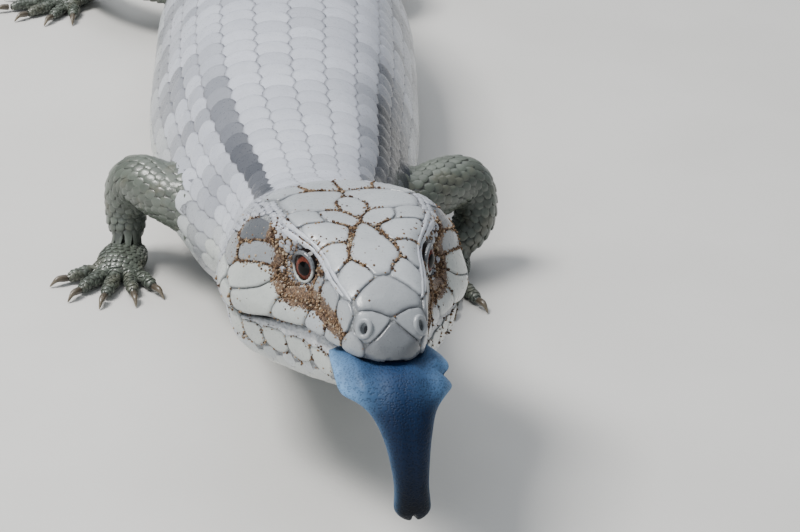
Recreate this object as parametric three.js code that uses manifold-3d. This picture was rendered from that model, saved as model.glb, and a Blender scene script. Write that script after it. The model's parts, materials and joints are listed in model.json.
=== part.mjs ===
// A blue-tongued skink at life size: it lies on its belly, props its chest on its forelegs,
// raises its head and hangs out its broad blue tongue. Millimetres, +Z up.
// The animal faces -Y and its left side is +X. Stations are measured back from the snout tip.
import * as THREE from "three";
import { mergeVertices } from "three/addons/utils/BufferGeometryUtils.js";
import Module from "manifold-3d";

const wasm = await Module();
wasm.setup();

// Driving dimensions, in millimetres and degrees
const LIP_HEIGHT = 40; // front of the upper lip above the ground
const SNOUT_ROUNDING = 6; // length over which the snout closes to its tip
const MOUTH_CORNER = 41;
const JAW_END = 44;
const HEAD_END = 58;
const NECK_END = 86;
const TORSO_END = 282;
const TAIL_CUTS = [338, 396];
const TAIL_TIP = 452;
const GAP = 0.3; // clearance that touching pieces keep
const SPINE_STEP = 0.5;

// The line of the body, as degrees of slope and of sideways swing at each station
const SLOPE = [[0, -11], [56, -11], [70, -13], [92, -8], [112, -1.5], [140, 0.3], [230, -0.5], [290, -5],
  [452, -5.6]];
const SWING = [[0, 0], [56, 0], [76, 7], [104, 5], [140, 10], [190, 12], [240, 4], [290, -12], [350, -30],
  [452, -44]];

// Head sections, [station, value]: heights above the lip line and half widths
const HEAD_TOP = [[0, 6], [1.3, 6.7], [3, 8], [6, 10.3], [9.7, 12.7], [15, 15], [27, 18.4], [40, 19.9],
  [50, 20.3], [60, 19.2]];
const BROW_X = [[0, 4.8], [3, 5.5], [8, 6.9], [14, 8.5], [20, 10.4], [26, 12.5], [32, 14.2], [40, 16],
  [60, 15]];
const BROW_Z = [[0, 5.2], [3, 6.8], [8, 9.7], [14, 12.1], [20, 14.7], [26, 17], [32, 18.3], [40, 18.6],
  [60, 15.6]];
const CHEEK_X = [[0, 5.6], [4, 6.8], [8, 7.8], [14, 10.2], [20, 13.2], [26, 16.8], [32, 20.4], [38, 22.8],
  [44, 23.4], [50, 22.8], [60, 20.4]];
const CHEEK_Z = [[0, 2.8], [8, 4.2], [20, 5.4], [30, 6.2], [44, 6.2], [60, 3]];
const LIP_X = [[0, 5.4], [4, 6.2], [8, 7.2], [13, 9.7], [18, 12.6], [23, 15.8], [28, 18.4], [32, 20.4],
  [36, 22], [42, 22.6], [60, 19.6]];
const LIP_Z = [[0, 0], [6, -0.4], [13, 0.7], [20, 1.9], [28, 1.4], [36, 0.4], [44, -0.8], [60, -3.5]];
const JAW_X = [[0, 4.9], [4, 5.9], [8, 6.9], [13, 8.6], [20, 11.4], [27, 14.2], [35, 17.2], [42, 18.6],
  [60, 16.8]];
const JAW_Z = [[0, -2.6], [6, -3.6], [13, -5], [20, -6.6], [27, -7.8], [35, -8.6], [44, -9], [60, -10]];
const THROAT_Z = [[0, -4], [5, -5.4], [10, -6.8], [25, -10], [44, -13.6], [60, -14.6]];
const MOUTH_DROP = [[0, 3.6], [6, 3.4], [14, 2.8], [24, 1.9], [32, 1], [40, 0.5], [46, 0.4]];
const LIP_OVERHANG = [[0, 0.3], [10, 1], [24, 1.5], [36, 0.9], [44, 0]];

// Soft hollows and swellings of the head's sides: station, height, reach along, reach up, inward depth
const HOLLOWS = [
  { s: 23.8, z: 11.6, along: 6.6, up: 4.6, depth: 3.1 },
  { s: 13, z: 6.5, along: 5, up: 3, depth: 0.5 },
  { s: 40, z: 12.5, along: 9, up: 3, depth: -0.5 },
];

// Neck, trunk and tail sections: half width, and height above and depth below the line of the body
const BODY_X = [[50, 21], [60, 19.4], [70, 18], [84, 19], [98, 23], [120, 26.6], [165, 30.6], [210, 31],
  [245, 26], [268, 19.5], [290, 16], [340, 12.8], [396, 8.6], [430, 5.2], [446, 3], [452, 1.2]];
const BODY_TOP = [[50, 20], [60, 18.6], [72, 17.4], [86, 18.8], [100, 21], [125, 23.6], [170, 25.5],
  [220, 24], [255, 20.4], [290, 16.4], [340, 12.4], [396, 8.2], [430, 4.8], [446, 2.8], [452, 1.2]];
const BODY_BELOW = [[50, 14.4], [60, 14.6], [86, 16], [100, 17.4], [125, 21], [170, 24.5], [220, 24],
  [255, 21.5], [290, 18.6], [340, 14.5], [396, 9.5], [430, 6], [446, 4], [452, 2]];

// Eyes, lids, nostrils and ears, in the head's own frame: half distance, station and height
const EYE = { x: 8.9, s: 24.3, z: 11.6, radius: 4.2, facing: [0.917, -0.4, 0.05] };
const LID = { out: 2.7, radius: 3.75, bead: 0.72, long: 1.08 };
const NOSTRIL = { x: 4.9, s: 2.9, z: 5.2, half: [1.1, 0.9, 1.3] };
const EAR = { x: 20.7, s: 54.3, z: 2.2, half: [2.4, 1.7, 3.1] };

// Head shields. Outlines seen from above are [station, distance from the midline], those seen from the
// side are [station, height above the lip line] and those seen from the front are [distance, height].
const SHIELD_RISE = 0.6;
const SHIELD_ROOT = 1;
const SEAM = 0.26; // half the groove between two shields
const MIDLINE_SHIELDS = {
  rostral: ["front", [[0, 6.2], [1.6, 4.9], [4.3, 2.6], [4.5, 0.5], [2.4, 0.2]]],
  frontonasal: ["top", [[9.8, 0], [9.3, 1.9], [8.3, 3.8], [6.7, 5.6], [5.4, 5.4], [4.5, 3.9], [3.4, 1]]],
  frontal: ["top", [[27.2, 0], [21, 2.3], [16.4, 4.6], [14.8, 3.8], [13, 2.3], [10.6, 1.2]]],
  interparietal: ["top", [[40.2, 0], [39.4, 1.7], [36, 2.6], [32.8, 2.2], [30.6, 1]]],
};
const PAIRED_SHIELDS = {
  nasal: ["front", [[5.9, 5.6], [5.2, 7.6], [3.4, 8], [1.5, 7.4], [0.4, 6.7], [1.8, 5.2], [4.6, 2.8],
    [5.6, 3.6]]],
  prefrontal: ["top", [[15.3, 4.7], [12.2, 2.4], [10.1, 1.6], [9, 2.9], [7.4, 6], [9.3, 6.9], [12.4, 7.4]]],
  supraocular_1: ["top", [[20, 4.8], [20.6, 7], [20.6, 8.9], [18.5, 8.8], [14.6, 7.5], [16.2, 5]]],
  supraocular_2: ["top", [[25.2, 3.2], [26.8, 6], [27.4, 11], [23.6, 10.4], [21, 9], [20.9, 7],
    [20.3, 4.6]]],
  supraocular_3: ["top", [[27.7, 6.8], [31.6, 7.4], [32.8, 10], [32.2, 12.6], [28, 11.6]]],
  frontoparietal: ["top", [[27.8, 0.5], [31, 2.2], [32.3, 4], [31.8, 7], [29, 7], [25.6, 3], [26.2, 1.2]]],
  parietal: ["top", [[43.8, 0.4], [44.4, 5], [43.2, 9.4], [39, 12.6], [33.4, 12], [32.6, 7], [33, 3],
    [36, 3.2], [41, 0.5]]],
  nuchal: ["top", [[44.6, 0.3], [45.2, 6], [49.4, 7], [53, 4.4], [53, 0.3]]],
  upper_temporal: ["top", [[44.9, 6.4], [44, 9.8], [42, 12.4], [46, 14.6], [50, 12], [50, 7.6]]],
  loreal_1: ["side", [[5.6, 6.8], [7.4, 8.4], [9.6, 8.6], [10.6, 6.2], [9.4, 3.6], [7.4, 3.4]]],
  loreal_2: ["side", [[10.4, 9], [14, 10.6], [16, 9.6], [15.6, 6.4], [13.4, 5.2], [10.6, 4.2],
    [11.2, 6.6]]],
  preocular: ["side", [[16.5, 10.4], [16.4, 7], [18.4, 7.6], [18.4, 10.6]]],
  subocular: ["side", [[19, 7], [20.8, 6.2], [24.8, 6.4], [24.8, 7.2], [21.4, 7.8]]],
  supralabial_1: ["side", [[3.2, 0.4], [3.2, 2.6], [4.6, 3.8], [7, 3], [9, 1.6], [9.1, 0.2]]],
  supralabial_2: ["side", [[9.6, 0.4], [9.4, 1.9], [8.2, 2.8], [12.6, 4.4], [13.3, 1.2]]],
  supralabial_3: ["side", [[13.8, 1.4], [13.1, 4.5], [16, 5.2], [17.6, 4.4], [17.9, 2.2]]],
  supralabial_4: ["side", [[18.4, 2.3], [18.1, 4.5], [20.8, 5.6], [23, 5.8], [25, 4.8], [25.5, 2.3]]],
  supralabial_5: ["side", [[26.1, 2.4], [25.8, 7.2], [27.3, 8], [29.6, 6], [36.2, 4.1], [37.2, 1.4],
    [33, 1.1]]],
  supralabial_6: ["side", [[37.8, 1.4], [36.9, 4.2], [40.6, 5], [43, 2.8], [41.4, 0.2]]],
  cheek: ["side", [[28.6, 8.4], [28.9, 9.8], [32, 10.2], [36.8, 9.4], [39.6, 7], [37.2, 5], [33.2, 5.5],
    [30.2, 6.7]]],
  temporal_1: ["side", [[31.4, 15.2], [33.4, 16.6], [37.4, 16.9], [41, 15.6], [39.6, 13.6], [36, 14.3]]],
  temporal_2: ["side", [[28.5, 11], [28.8, 13], [31, 13.9], [34, 13.7], [37.6, 12.2], [36.8, 10.1],
    [32, 10.9]]],
  temporal_3: ["side", [[38.4, 12.4], [40.6, 13.4], [44, 12.6], [44.6, 9.4], [40.6, 8.2], [37.8, 10]]],
  temporal_4: ["side", [[40.6, 6.6], [41.2, 7.7], [45.2, 8.7], [48, 5.6], [44, 3.2], [41.6, 5.4]]],
};
const INFRALABIAL_STATIONS = [8.5, 13.5, 19, 25, 31.2, 37, 42.6];
const INFRALABIAL_TOP = 0.5; // below the lower lip's rim
const INFRALABIAL_DEPTH = 3.2;
const INFRALABIAL_LEAN = 0.8;

// A smooth, monotone curve through [station, value] pairs
function keyed(keys, s) {
  if (s <= keys[0][0]) return keys[0][1];
  const last = keys.length - 1;
  if (s >= keys[last][0]) return keys[last][1];
  let i = 0;
  while (s > keys[i + 1][0]) i++;
  const span = (k) => keys[k + 1][0] - keys[k][0];
  const rise = (k) => (keys[k + 1][1] - keys[k][1]) / span(k);
  const slope = (k) => {
    if (k === 0) return rise(0);
    if (k === last) return rise(last - 1);
    const before = rise(k - 1);
    const after = rise(k);
    if (before * after <= 0) return 0;
    const wa = 2 * span(k) + span(k - 1);
    const wb = span(k) + 2 * span(k - 1);
    return (wa + wb) / (wa / before + wb / after);
  };
  const h = span(i);
  const t = (s - keys[i][0]) / h;
  const t2 = t * t;
  const t3 = t2 * t;
  return (2 * t3 - 3 * t2 + 1) * keys[i][1] + (t3 - 2 * t2 + t) * h * slope(i)
    + (3 * t2 - 2 * t3) * keys[i + 1][1] + (t3 - t2) * h * slope(i + 1);
}

const radians = THREE.MathUtils.degToRad;
const ease = (low, high, s) => THREE.MathUtils.smoothstep(s, low, high);

// The line of the body as a table of points, stepped from the lip backwards
const spineTable = [new THREE.Vector3(0, 0, LIP_HEIGHT)];
function spineDirection(s) {
  const slope = radians(keyed(SLOPE, s));
  const swing = radians(keyed(SWING, s));
  const level = Math.cos(slope);
  return new THREE.Vector3(Math.sin(swing) * level, Math.cos(swing) * level, Math.sin(slope));
}
for (let s = 0; s < TAIL_TIP; s += SPINE_STEP) {
  const next = spineTable.at(-1).clone().addScaledVector(spineDirection(s + SPINE_STEP / 2), SPINE_STEP);
  spineTable.push(next);
}

// The place beside, and above, the line of the body at a station
function at(s, side, up) {
  const k = THREE.MathUtils.clamp(s / SPINE_STEP, 0, spineTable.length - 1.001);
  const i = Math.floor(k);
  const point = spineTable[i].clone().lerp(spineTable[i + 1], k - i);
  const along = spineDirection(s);
  const swing = radians(keyed(SWING, s));
  const left = new THREE.Vector3(Math.cos(swing), -Math.sin(swing), 0);
  const over = left.clone().cross(along);
  return point.addScaledVector(left, side).addScaledVector(over, up);
}

// The six control points of a half section, from the crown down to the throat or belly
function halfSection(s) {
  const w = keyed(BODY_X, s);
  const top = keyed(BODY_TOP, s);
  const below = keyed(BODY_BELOW, s);
  const body = [[0, top], [0.64 * w, 0.8 * top], [w, 0.02 * top], [0.93 * w, -0.5 * below],
    [0.6 * w, -0.87 * below], [0, -below]];
  const blend = ease(50, 66, s);
  if (blend === 1) return body;
  const pair = (across, height) => [keyed(across, s), keyed(height, s)];
  const head = [[0, keyed(HEAD_TOP, s)], pair(BROW_X, BROW_Z), pair(CHEEK_X, CHEEK_Z),
    pair(LIP_X, LIP_Z), pair(JAW_X, JAW_Z), [0, keyed(THROAT_Z, s)]];
  const round = s < SNOUT_ROUNDING ? Math.sqrt(1 - (1 - s / SNOUT_ROUNDING) ** 2) : 1;
  return head.map(([x, z], i) => [
    THREE.MathUtils.lerp(x * round, body[i][0], blend),
    THREE.MathUtils.lerp(z * round, body[i][1], blend),
  ]);
}

// A point of the closed section: q runs 0 to 5 down the left side and 5 to 10 up the right
function sectionPoint(s, q, grow = 0) {
  const half = halfSection(s);
  const ring = [...half, ...half.slice(1, 5).reverse().map(([x, z]) => [-x, z])];
  const i = Math.floor(q);
  const t = q - i;
  const control = (k) => ring[(i + k + 10) % 10];
  const mix = (axis) => {
    const [a, b, c, d] = [-1, 0, 1, 2].map((k) => control(k)[axis]);
    const bend = 2 * a - 5 * b + 4 * c - d;
    return 0.5 * (2 * b + (c - a) * t + bend * t * t + (3 * b - a - 3 * c + d) * t ** 3);
  };
  let x = mix(0);
  let z = mix(1);
  const fold = Math.min(q, 10 - q);
  if (s < HEAD_END) {
    const lower = ease(3, 3.12, fold) * (1 - ease(MOUTH_CORNER, JAW_END + 6, s));
    z -= keyed(MOUTH_DROP, s) * lower;
    let inward = keyed(LIP_OVERHANG, s) * lower;
    for (const hollow of HOLLOWS) {
      const near = ((s - hollow.s) / hollow.along) ** 2 + ((z - hollow.z) / hollow.up) ** 2;
      inward += hollow.depth * Math.exp(-near) * ease(0.4, 1, fold);
    }
    x -= Math.sign(x) * inward * Math.min(1, Math.abs(x) / 4);
  }
  if (grow) {
    const r = Math.hypot(x, z - 2) || 1;
    x += (grow * x) / r;
    z += (grow * (z - 2)) / r;
  }
  return [x, z];
}

// Closed skin over rings of points, with a fan to a middle point at each end
function skinOver(rings) {
  const n = rings[0].length;
  const points = rings.flat();
  const middle = (ring) => ring.reduce((sum, p) => sum.add(p), new THREE.Vector3()).divideScalar(n);
  const first = points.push(middle(rings[0])) - 1;
  const last = points.push(middle(rings.at(-1))) - 1;
  const index = [];
  rings.slice(1).forEach((_, r) => {
    for (let k = 0; k < n; k++) {
      const a = r * n + k;
      const b = r * n + ((k + 1) % n);
      index.push(a, a + n, b, b, a + n, b + n);
    }
  });
  const tail = (rings.length - 1) * n;
  for (let k = 0; k < n; k++) {
    index.push(first, k, (k + 1) % n);
    index.push(last, tail + ((k + 1) % n), tail + k);
  }
  const geometry = new THREE.BufferGeometry().setFromPoints(points);
  geometry.setIndex(index);
  return geometry;
}

// A closed solid that can be joined and cut, turned right side out
function solid(geometry) {
  const bare = geometry.clone();
  bare.deleteAttribute("normal");
  bare.deleteAttribute("uv");
  const merged = mergeVertices(bare, 1e-4);
  const index = Array.from(merged.index.array);
  const triangles = [];
  for (let i = 0; i < index.length; i += 3) {
    const [a, b, c] = index.slice(i, i + 3);
    if (a !== b && b !== c && c !== a) triangles.push(a, b, c);
  }
  const build = (triVerts) => new wasm.Manifold(new wasm.Mesh({
    numProp: 3,
    vertProperties: new Float32Array(merged.attributes.position.array),
    triVerts: new Uint32Array(triVerts),
  }));
  const made = build(triangles);
  if (made.volume() > 0) return made;
  const turned = [];
  for (let i = 0; i < triangles.length; i += 3) {
    turned.push(triangles[i], triangles[i + 2], triangles[i + 1]);
  }
  return build(turned);
}

// The largest body of a solid, as loose scraps of a cut are dropped
function largest(made) {
  return made.decompose().sort((a, b) => b.volume() - a.volume())[0];
}

function toGeometry(made) {
  const mesh = made.getMesh();
  const geometry = new THREE.BufferGeometry();
  geometry.setAttribute("position", new THREE.BufferAttribute(new Float32Array(mesh.vertProperties), 3));
  geometry.setIndex(new THREE.BufferAttribute(new Uint32Array(mesh.triVerts), 1));
  return geometry;
}

// Materials of the visible surfaces
const scales = new THREE.MeshStandardMaterial({ color: 0xaab0b6, roughness: 0.38, metalness: 0 });
const limbSkin = new THREE.MeshStandardMaterial({ color: 0x5d665f, roughness: 0.5, metalness: 0 });
const tongueSkin = new THREE.MeshStandardMaterial({ color: 0x3c5f8c, roughness: 0.45, metalness: 0 });
const iris = new THREE.MeshStandardMaterial({ color: 0x6b3a22, roughness: 0.08, metalness: 0 });
const horn = new THREE.MeshStandardMaterial({ color: 0x4a463f, roughness: 0.4, metalness: 0 });

const skink = new THREE.Group();
function addNode(name, made, material) {
  const mesh = new THREE.Mesh(toGeometry(largest(made)), material);
  mesh.name = name;
  skink.add(mesh);
}

// Stretches of the body between two stations, flat where they rest on the ground
const HEAD_RING = [0, 0.35, 0.7, 1, 1.3, 1.65, 2, 2.4, 2.75, 3, 3.14, 3.5, 4, 4.5, 5];
const BODY_RING = [0, 0.5, 1, 1.5, 2, 2.5, 3, 3.5, 4, 4.4, 4.7, 5];
const fullRing = (half) => [...half, ...half.slice(1, -1).reverse().map((q) => 10 - q)];
const onGround = (point, grow) => point.setZ(Math.max(point.z, -grow));

function bodyStretch(stations, half, grow = 0) {
  const rings = stations.map((s) => fullRing(half).map((q) => {
    const [x, z] = sectionPoint(s, q, grow);
    return onGround(at(s, x, z), grow);
  }));
  return solid(skinOver(rings));
}

function evenly(from, to, step) {
  const count = Math.max(1, Math.round((to - from) / step));
  return Array.from({ length: count + 1 }, (_, i) => from + ((to - from) * i) / count);
}

// The head is shaped in its own frame (x, station, height above the lip line), then set on the neck
const headFrame = new THREE.Matrix4().makeBasis(
  new THREE.Vector3(1, 0, 0),
  spineDirection(0),
  new THREE.Vector3(1, 0, 0).cross(spineDirection(0)),
).setPosition(0, 0, LIP_HEIGHT);
const placed = (made) => made.transform(Array.from(headFrame.elements));

const SNOUT_STATIONS = [0.12, 0.5, 1.1, 2, 3.2, 4.8, 6.5];
const headStations = [...SNOUT_STATIONS, ...evenly(8.5, HEAD_END - GAP / 2, 2.75)];
const headRings = headStations.map((s) => fullRing(HEAD_RING).map((q) => {
  const [x, z] = sectionPoint(s, q);
  return new THREE.Vector3(x, s, z);
}));
const headGeometry = skinOver(headRings);
const headBlank = solid(headGeometry);

// The open mouth: a wedge between the lips that thins out to the corner, and the jaw's rear cut
function mouthWedge() {
  const shape = new THREE.Shape();
  const stations = evenly(0, JAW_END - GAP, 4);
  const front = -6;
  const underThroat = -30;
  shape.moveTo(front, 0);
  shape.lineTo(front, -keyed(MOUTH_DROP, 0));
  stations.forEach((s) => shape.lineTo(s, keyed(LIP_Z, s) - keyed(MOUTH_DROP, s)));
  shape.lineTo(JAW_END - GAP, underThroat);
  shape.lineTo(JAW_END, underThroat);
  shape.lineTo(JAW_END, keyed(LIP_Z, JAW_END));
  stations.reverse().forEach((s) => shape.lineTo(s, keyed(LIP_Z, s)));
  const wide = 80;
  const wedge = new THREE.ExtrudeGeometry(shape, { depth: wide, bevelEnabled: false });
  wedge.applyMatrix4(new THREE.Matrix4().makeBasis(
    new THREE.Vector3(0, 1, 0),
    new THREE.Vector3(0, 0, 1),
    new THREE.Vector3(1, 0, 0),
  ).setPosition(-wide / 2, 0, 0));
  return solid(wedge);
}

// Where a line of sight meets the head: the point and the surface's outward direction there
const FAR = 80; // well outside the head
const headMesh = new THREE.Mesh(headGeometry, new THREE.MeshBasicMaterial({ side: THREE.DoubleSide }));
const SIGHT = {
  top: { from: ([s, x], side) => [side * x, s, FAR], to: () => [0, 0, -1] },
  side: { from: ([s, z], side) => [side * FAR, s, z], to: (side) => [-side, 0, 0] },
  front: { from: ([x, z], side) => [side * x, -FAR, z], to: () => [0, 1, 0] },
};
function onHead(view, mark, side) {
  const aim = new THREE.Vector3(...SIGHT[view].to(side));
  const caster = new THREE.Raycaster(new THREE.Vector3(...SIGHT[view].from(mark, side)), aim);
  const [hit] = caster.intersectObject(headMesh);
  const normal = hit.face.normal.clone();
  return { point: hit.point, normal: normal.dot(aim) > 0 ? normal.negate() : normal };
}

// One shield: a low cushion with an upright rim, its root sunk in the head
function shield(view, outline, side) {
  const flat = outline.map(([a, b]) => new THREE.Vector2(a, b));
  const centre = flat.reduce((sum, p) => sum.add(p), new THREE.Vector2()).divideScalar(flat.length);
  const inset = flat.map((p) => {
    const out = p.clone().sub(centre);
    return centre.clone().addScaledVector(out, 1 - SEAM / out.length());
  });
  const { normal } = onHead(view, centre.toArray(), side);
  const ring = (share, lift) => inset.map((p) => {
    const mark = centre.clone().lerp(p, share);
    return onHead(view, mark.toArray(), side).point.addScaledVector(normal, lift);
  });
  return solid(skinOver([ring(0.9, -SHIELD_ROOT), ring(1, SHIELD_RISE * 0.5), ring(0.72, SHIELD_RISE)]));
}

function bothSides([view, half]) {
  const across = view === "front" ? 0 : 1;
  const flipped = half.map((mark) => mark.map((value, axis) => (axis === across ? -value : value)));
  const onMidline = (mark) => Math.abs(mark[across]) < 0.05;
  return [view, [...half, ...flipped.reverse().filter((mark) => !onMidline(mark))]];
}

const shields = Object.values(MIDLINE_SHIELDS).map((each) => shield(...bothSides(each), 1));
for (const side of [-1, 1]) {
  for (const [view, outline] of Object.values(PAIRED_SHIELDS)) shields.push(shield(view, outline, side));
  INFRALABIAL_STATIONS.slice(1).forEach((to, i) => {
    const from = INFRALABIAL_STATIONS[i];
    const upper = (s) => [s, keyed(LIP_Z, s) - keyed(MOUTH_DROP, s) - INFRALABIAL_TOP];
    const lower = (s) => [s - INFRALABIAL_LEAN, upper(s)[1] - INFRALABIAL_DEPTH];
    shields.push(shield("side", [upper(from), upper(to), lower(to), lower(from)], side));
  });
}
const shielded = wasm.Manifold.union([headBlank, ...shields]);

const ball = (radius, x, s, z, segments = 12) => solid(
  new THREE.SphereGeometry(radius, segments, Math.round(segments * 0.75)).translate(x, s, z),
);
const hollow = ({ x, s, z, half: [a, b, c] }, side) => solid(
  new THREE.SphereGeometry(1, 10, 8).scale(a, b, c).translate(side * x, s, z),
);

// A lid is a soft ring round the eye, set square to the way that the eye looks
function lidRing(side) {
  const facing = new THREE.Vector3(side * EYE.facing[0], EYE.facing[1], EYE.facing[2]).normalize();
  const ring = new THREE.TorusGeometry(LID.radius, LID.bead, 6, 18).scale(LID.long, 1, 1);
  const turn = new THREE.Matrix4().makeBasis(
    new THREE.Vector3(0, 0, 1).cross(facing).normalize(),
    new THREE.Vector3(0, 0, 1),
    facing,
  );
  const centre = new THREE.Vector3(side * EYE.x, EYE.s, EYE.z).addScaledVector(facing, LID.out);
  return solid(ring.applyMatrix4(turn.setPosition(centre)));
}

const opened = shielded.subtract(mouthWedge()).decompose().sort((a, b) => b.volume() - a.volume());
let skull = opened[0];
const jaw = opened[1];
for (const side of [-1, 1]) {
  skull = skull.add(lidRing(side)).subtract(ball(EYE.radius + GAP, side * EYE.x, EYE.s, EYE.z, 16));
  skull = skull.subtract(hollow(NOSTRIL, side)).subtract(hollow(EAR, side));
}
skull = largest(skull);

// The tongue: a broad flap over the lower lip that narrows to a thick, rounded, notched tip
const TONGUE_PATH = [[0, 15, 35.2], [0, 1.5, 37.9], [0.1, -4.2, 36.6], [0.4, -8.4, 31.8], [0.8, -10.4, 26],
  [1.3, -11.2, 19.6], [1.8, -11, 13.6]];
const TONGUE_HALF_WIDTH = [[0, 8.8], [0.22, 10.4], [0.32, 10.7], [0.42, 10.1], [0.47, 8.6], [0.52, 6.2],
  [0.58, 5.2], [0.67, 4.1], [0.76, 3.5], [0.86, 3.1], [0.93, 3.4], [0.96, 3.3], [0.985, 2.7], [1, 1.6]];
const TONGUE_THICKNESS = [[0, 1.2], [0.16, 2], [0.3, 2.6], [0.45, 3.4], [0.6, 4.2], [0.8, 4], [0.94, 4.3],
  [0.985, 3], [1, 1.2]];
const TONGUE_NOTCH = { wide: 1.1, deep: 1.5, long: 12 };
const TONGUE_SIDES = 16;
const TONGUE_DROOP = [[0, 0.2], [0.25, 0.8], [0.4, 2.4], [0.52, 1.2], [0.7, 0.3], [1, 0]];
function tongueSolid(grow) {
  const path = new THREE.CatmullRomCurve3(TONGUE_PATH.map((point) => new THREE.Vector3(...point)));
  const stations = [...evenly(0, 0.95, 0.05), 0.975, 0.99, 1];
  const rings = stations.map((t) => {
    const centre = path.getPointAt(t);
    const along = path.getTangentAt(t);
    const over = new THREE.Vector3(1, 0, 0).cross(along).negate();
    return Array.from({ length: TONGUE_SIDES }, (_, k) => {
      const angle = (k / TONGUE_SIDES) * Math.PI * 2;
      const droop = keyed(TONGUE_DROOP, t) * Math.cos(angle) ** 2;
      return centre.clone()
        .add(new THREE.Vector3(Math.cos(angle) * (keyed(TONGUE_HALF_WIDTH, t) + grow), 0, 0))
        .addScaledVector(over, Math.sin(angle) * (keyed(TONGUE_THICKNESS, t) * 0.5 + grow) - droop);
    });
  });
  return solid(skinOver(rings));
}

// The shallow notch in the tongue's tip, a three-sided bar laid through its thickness
function tongueNotch() {
  const { wide, deep, long } = TONGUE_NOTCH;
  const bar = new THREE.CylinderGeometry(wide, wide, long, 3).scale(1, 1, deep / wide);
  return solid(bar.translate(...TONGUE_PATH.at(-1)));
}

const tongueRoom = tongueSolid(GAP);
addNode("head", placed(skull).subtract(tongueRoom), scales);
addNode("lower_jaw", placed(jaw).subtract(tongueRoom), scales);
addNode("tongue", tongueSolid(0).subtract(tongueNotch()), tongueSkin);
for (const [name, side] of [["eye_right", -1], ["eye_left", 1]]) {
  addNode(name, placed(ball(EYE.radius, side * EYE.x, EYE.s, EYE.z)), iris);
}

// Neck, trunk and tail, end to end with a gap between each two
const BODY_ENDS = [HEAD_END, NECK_END, TORSO_END, ...TAIL_CUTS, TAIL_TIP];
const BODY_NODES = { neck: 4, torso: 7.8, tail_base: 8, tail_middle: 8, tail_tip: 8 }; // name: one step
Object.entries(BODY_NODES).forEach(([name, step], i) => {
  const stations = evenly(BODY_ENDS[i] + GAP / 2, BODY_ENDS[i + 1] - GAP / 2, step);
  addNode(name, bodyStretch(stations, BODY_RING), scales);
});

// Limbs, each a tube along its joints, cut clear of the body that it grows from
function limbTube(joints, radii, facing, { grow = 0, sides = 10, step = 0.084, flat = 1 } = {}) {
  const path = new THREE.CatmullRomCurve3(joints);
  const rings = evenly(0, 1, step).map((t) => {
    const centre = path.getPointAt(t);
    const along = path.getTangentAt(t);
    const across = along.clone().cross(facing).normalize();
    const over = across.clone().cross(along);
    const radius = keyed(radii, t) + grow;
    return Array.from({ length: sides }, (_, k) => {
      const angle = (k / sides) * Math.PI * 2;
      const point = centre.clone()
        .addScaledVector(across, Math.cos(angle) * radius)
        .addScaledVector(over, Math.sin(angle) * radius * flat);
      return onGround(point, grow);
    });
  });
  return solid(skinOver(rings));
}

const FORWARD = new THREE.Vector3(0, -1, 0);
const UP = new THREE.Vector3(0, 0, 1);
const neckCutter = bodyStretch(evenly(HEAD_END, NECK_END + 2, 4), BODY_RING, GAP);
const torsoCutter = bodyStretch(evenly(NECK_END - 2, TORSO_END + 2, 6), BODY_RING, GAP);
const tailCutter = bodyStretch(evenly(TORSO_END - 2, TAIL_CUTS[0], 6), BODY_RING, GAP);

// Joints as [station, side, height above the ground], from the root inside the trunk to the wrist or ankle
const LIMBS = {
  foreleg: {
    left: [[104, 12, 16], [113, 26, 20], [122, 39, 19.5], [121, 41, 12], [117, 36, 5.2]],
    right: [[104, 12, 16], [113, 24, 20], [123, 34, 19.5], [125, 35.5, 12], [123, 35, 5.2]],
    radii: [[0, 8.5], [0.35, 6.6], [0.55, 6.2], [0.75, 5.2], [1, 4]],
    heading: { left: -24, right: 16 },
    palm: 11,
    toes: [5.2, 8, 10, 9.6, 6.6],
  },
  hindleg: {
    left: [[262, 9, 15], [266, 22, 16], [271, 34, 15], [284, 40, 9.5], [292, 41, 5.2]],
    right: [[262, 9, 15], [267, 22, 16], [274, 33, 15], [290, 37, 9.5], [302, 36, 5.2]],
    radii: [[0, 10], [0.3, 8.2], [0.55, 6.4], [0.75, 5.4], [1, 4.2]],
    heading: { left: 66, right: 72 },
    palm: 13,
    toes: [5, 8.6, 11.4, 12.6, 7.6],
  },
};
const TOE_FAN = [-46, -22, 0, 20, 46]; // degrees from the heading, inner toe first
const TOE_RADIUS = 1.75;
const TOE_SPACING = 1.9;
const TOE_ROOT = { back: 3.2, height: 1.9 };
const TOE_TIP = { on: 2.4, height: 1.15 };
const TOE_BEND = { share: 0.55, height: 1.6 };
const PALM_HEIGHT = { wrist: 3.2, knuckle: 2.2 };
const PALM_BACK = 2;
const PALM_RADII = [[0, 3.9], [0.3, 4.8], [0.7, 5.6], [1, 4.2]];
const CLAW_LENGTH = 3.4;
const CLAW_RADIUS = 0.85;
const CLAW_DIP = -0.16;
const CLAW_LIFT = 0.5;

function jointPoint([s, side, height], sign) {
  const point = at(s, side * sign, 0);
  return point.setZ(height);
}

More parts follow.
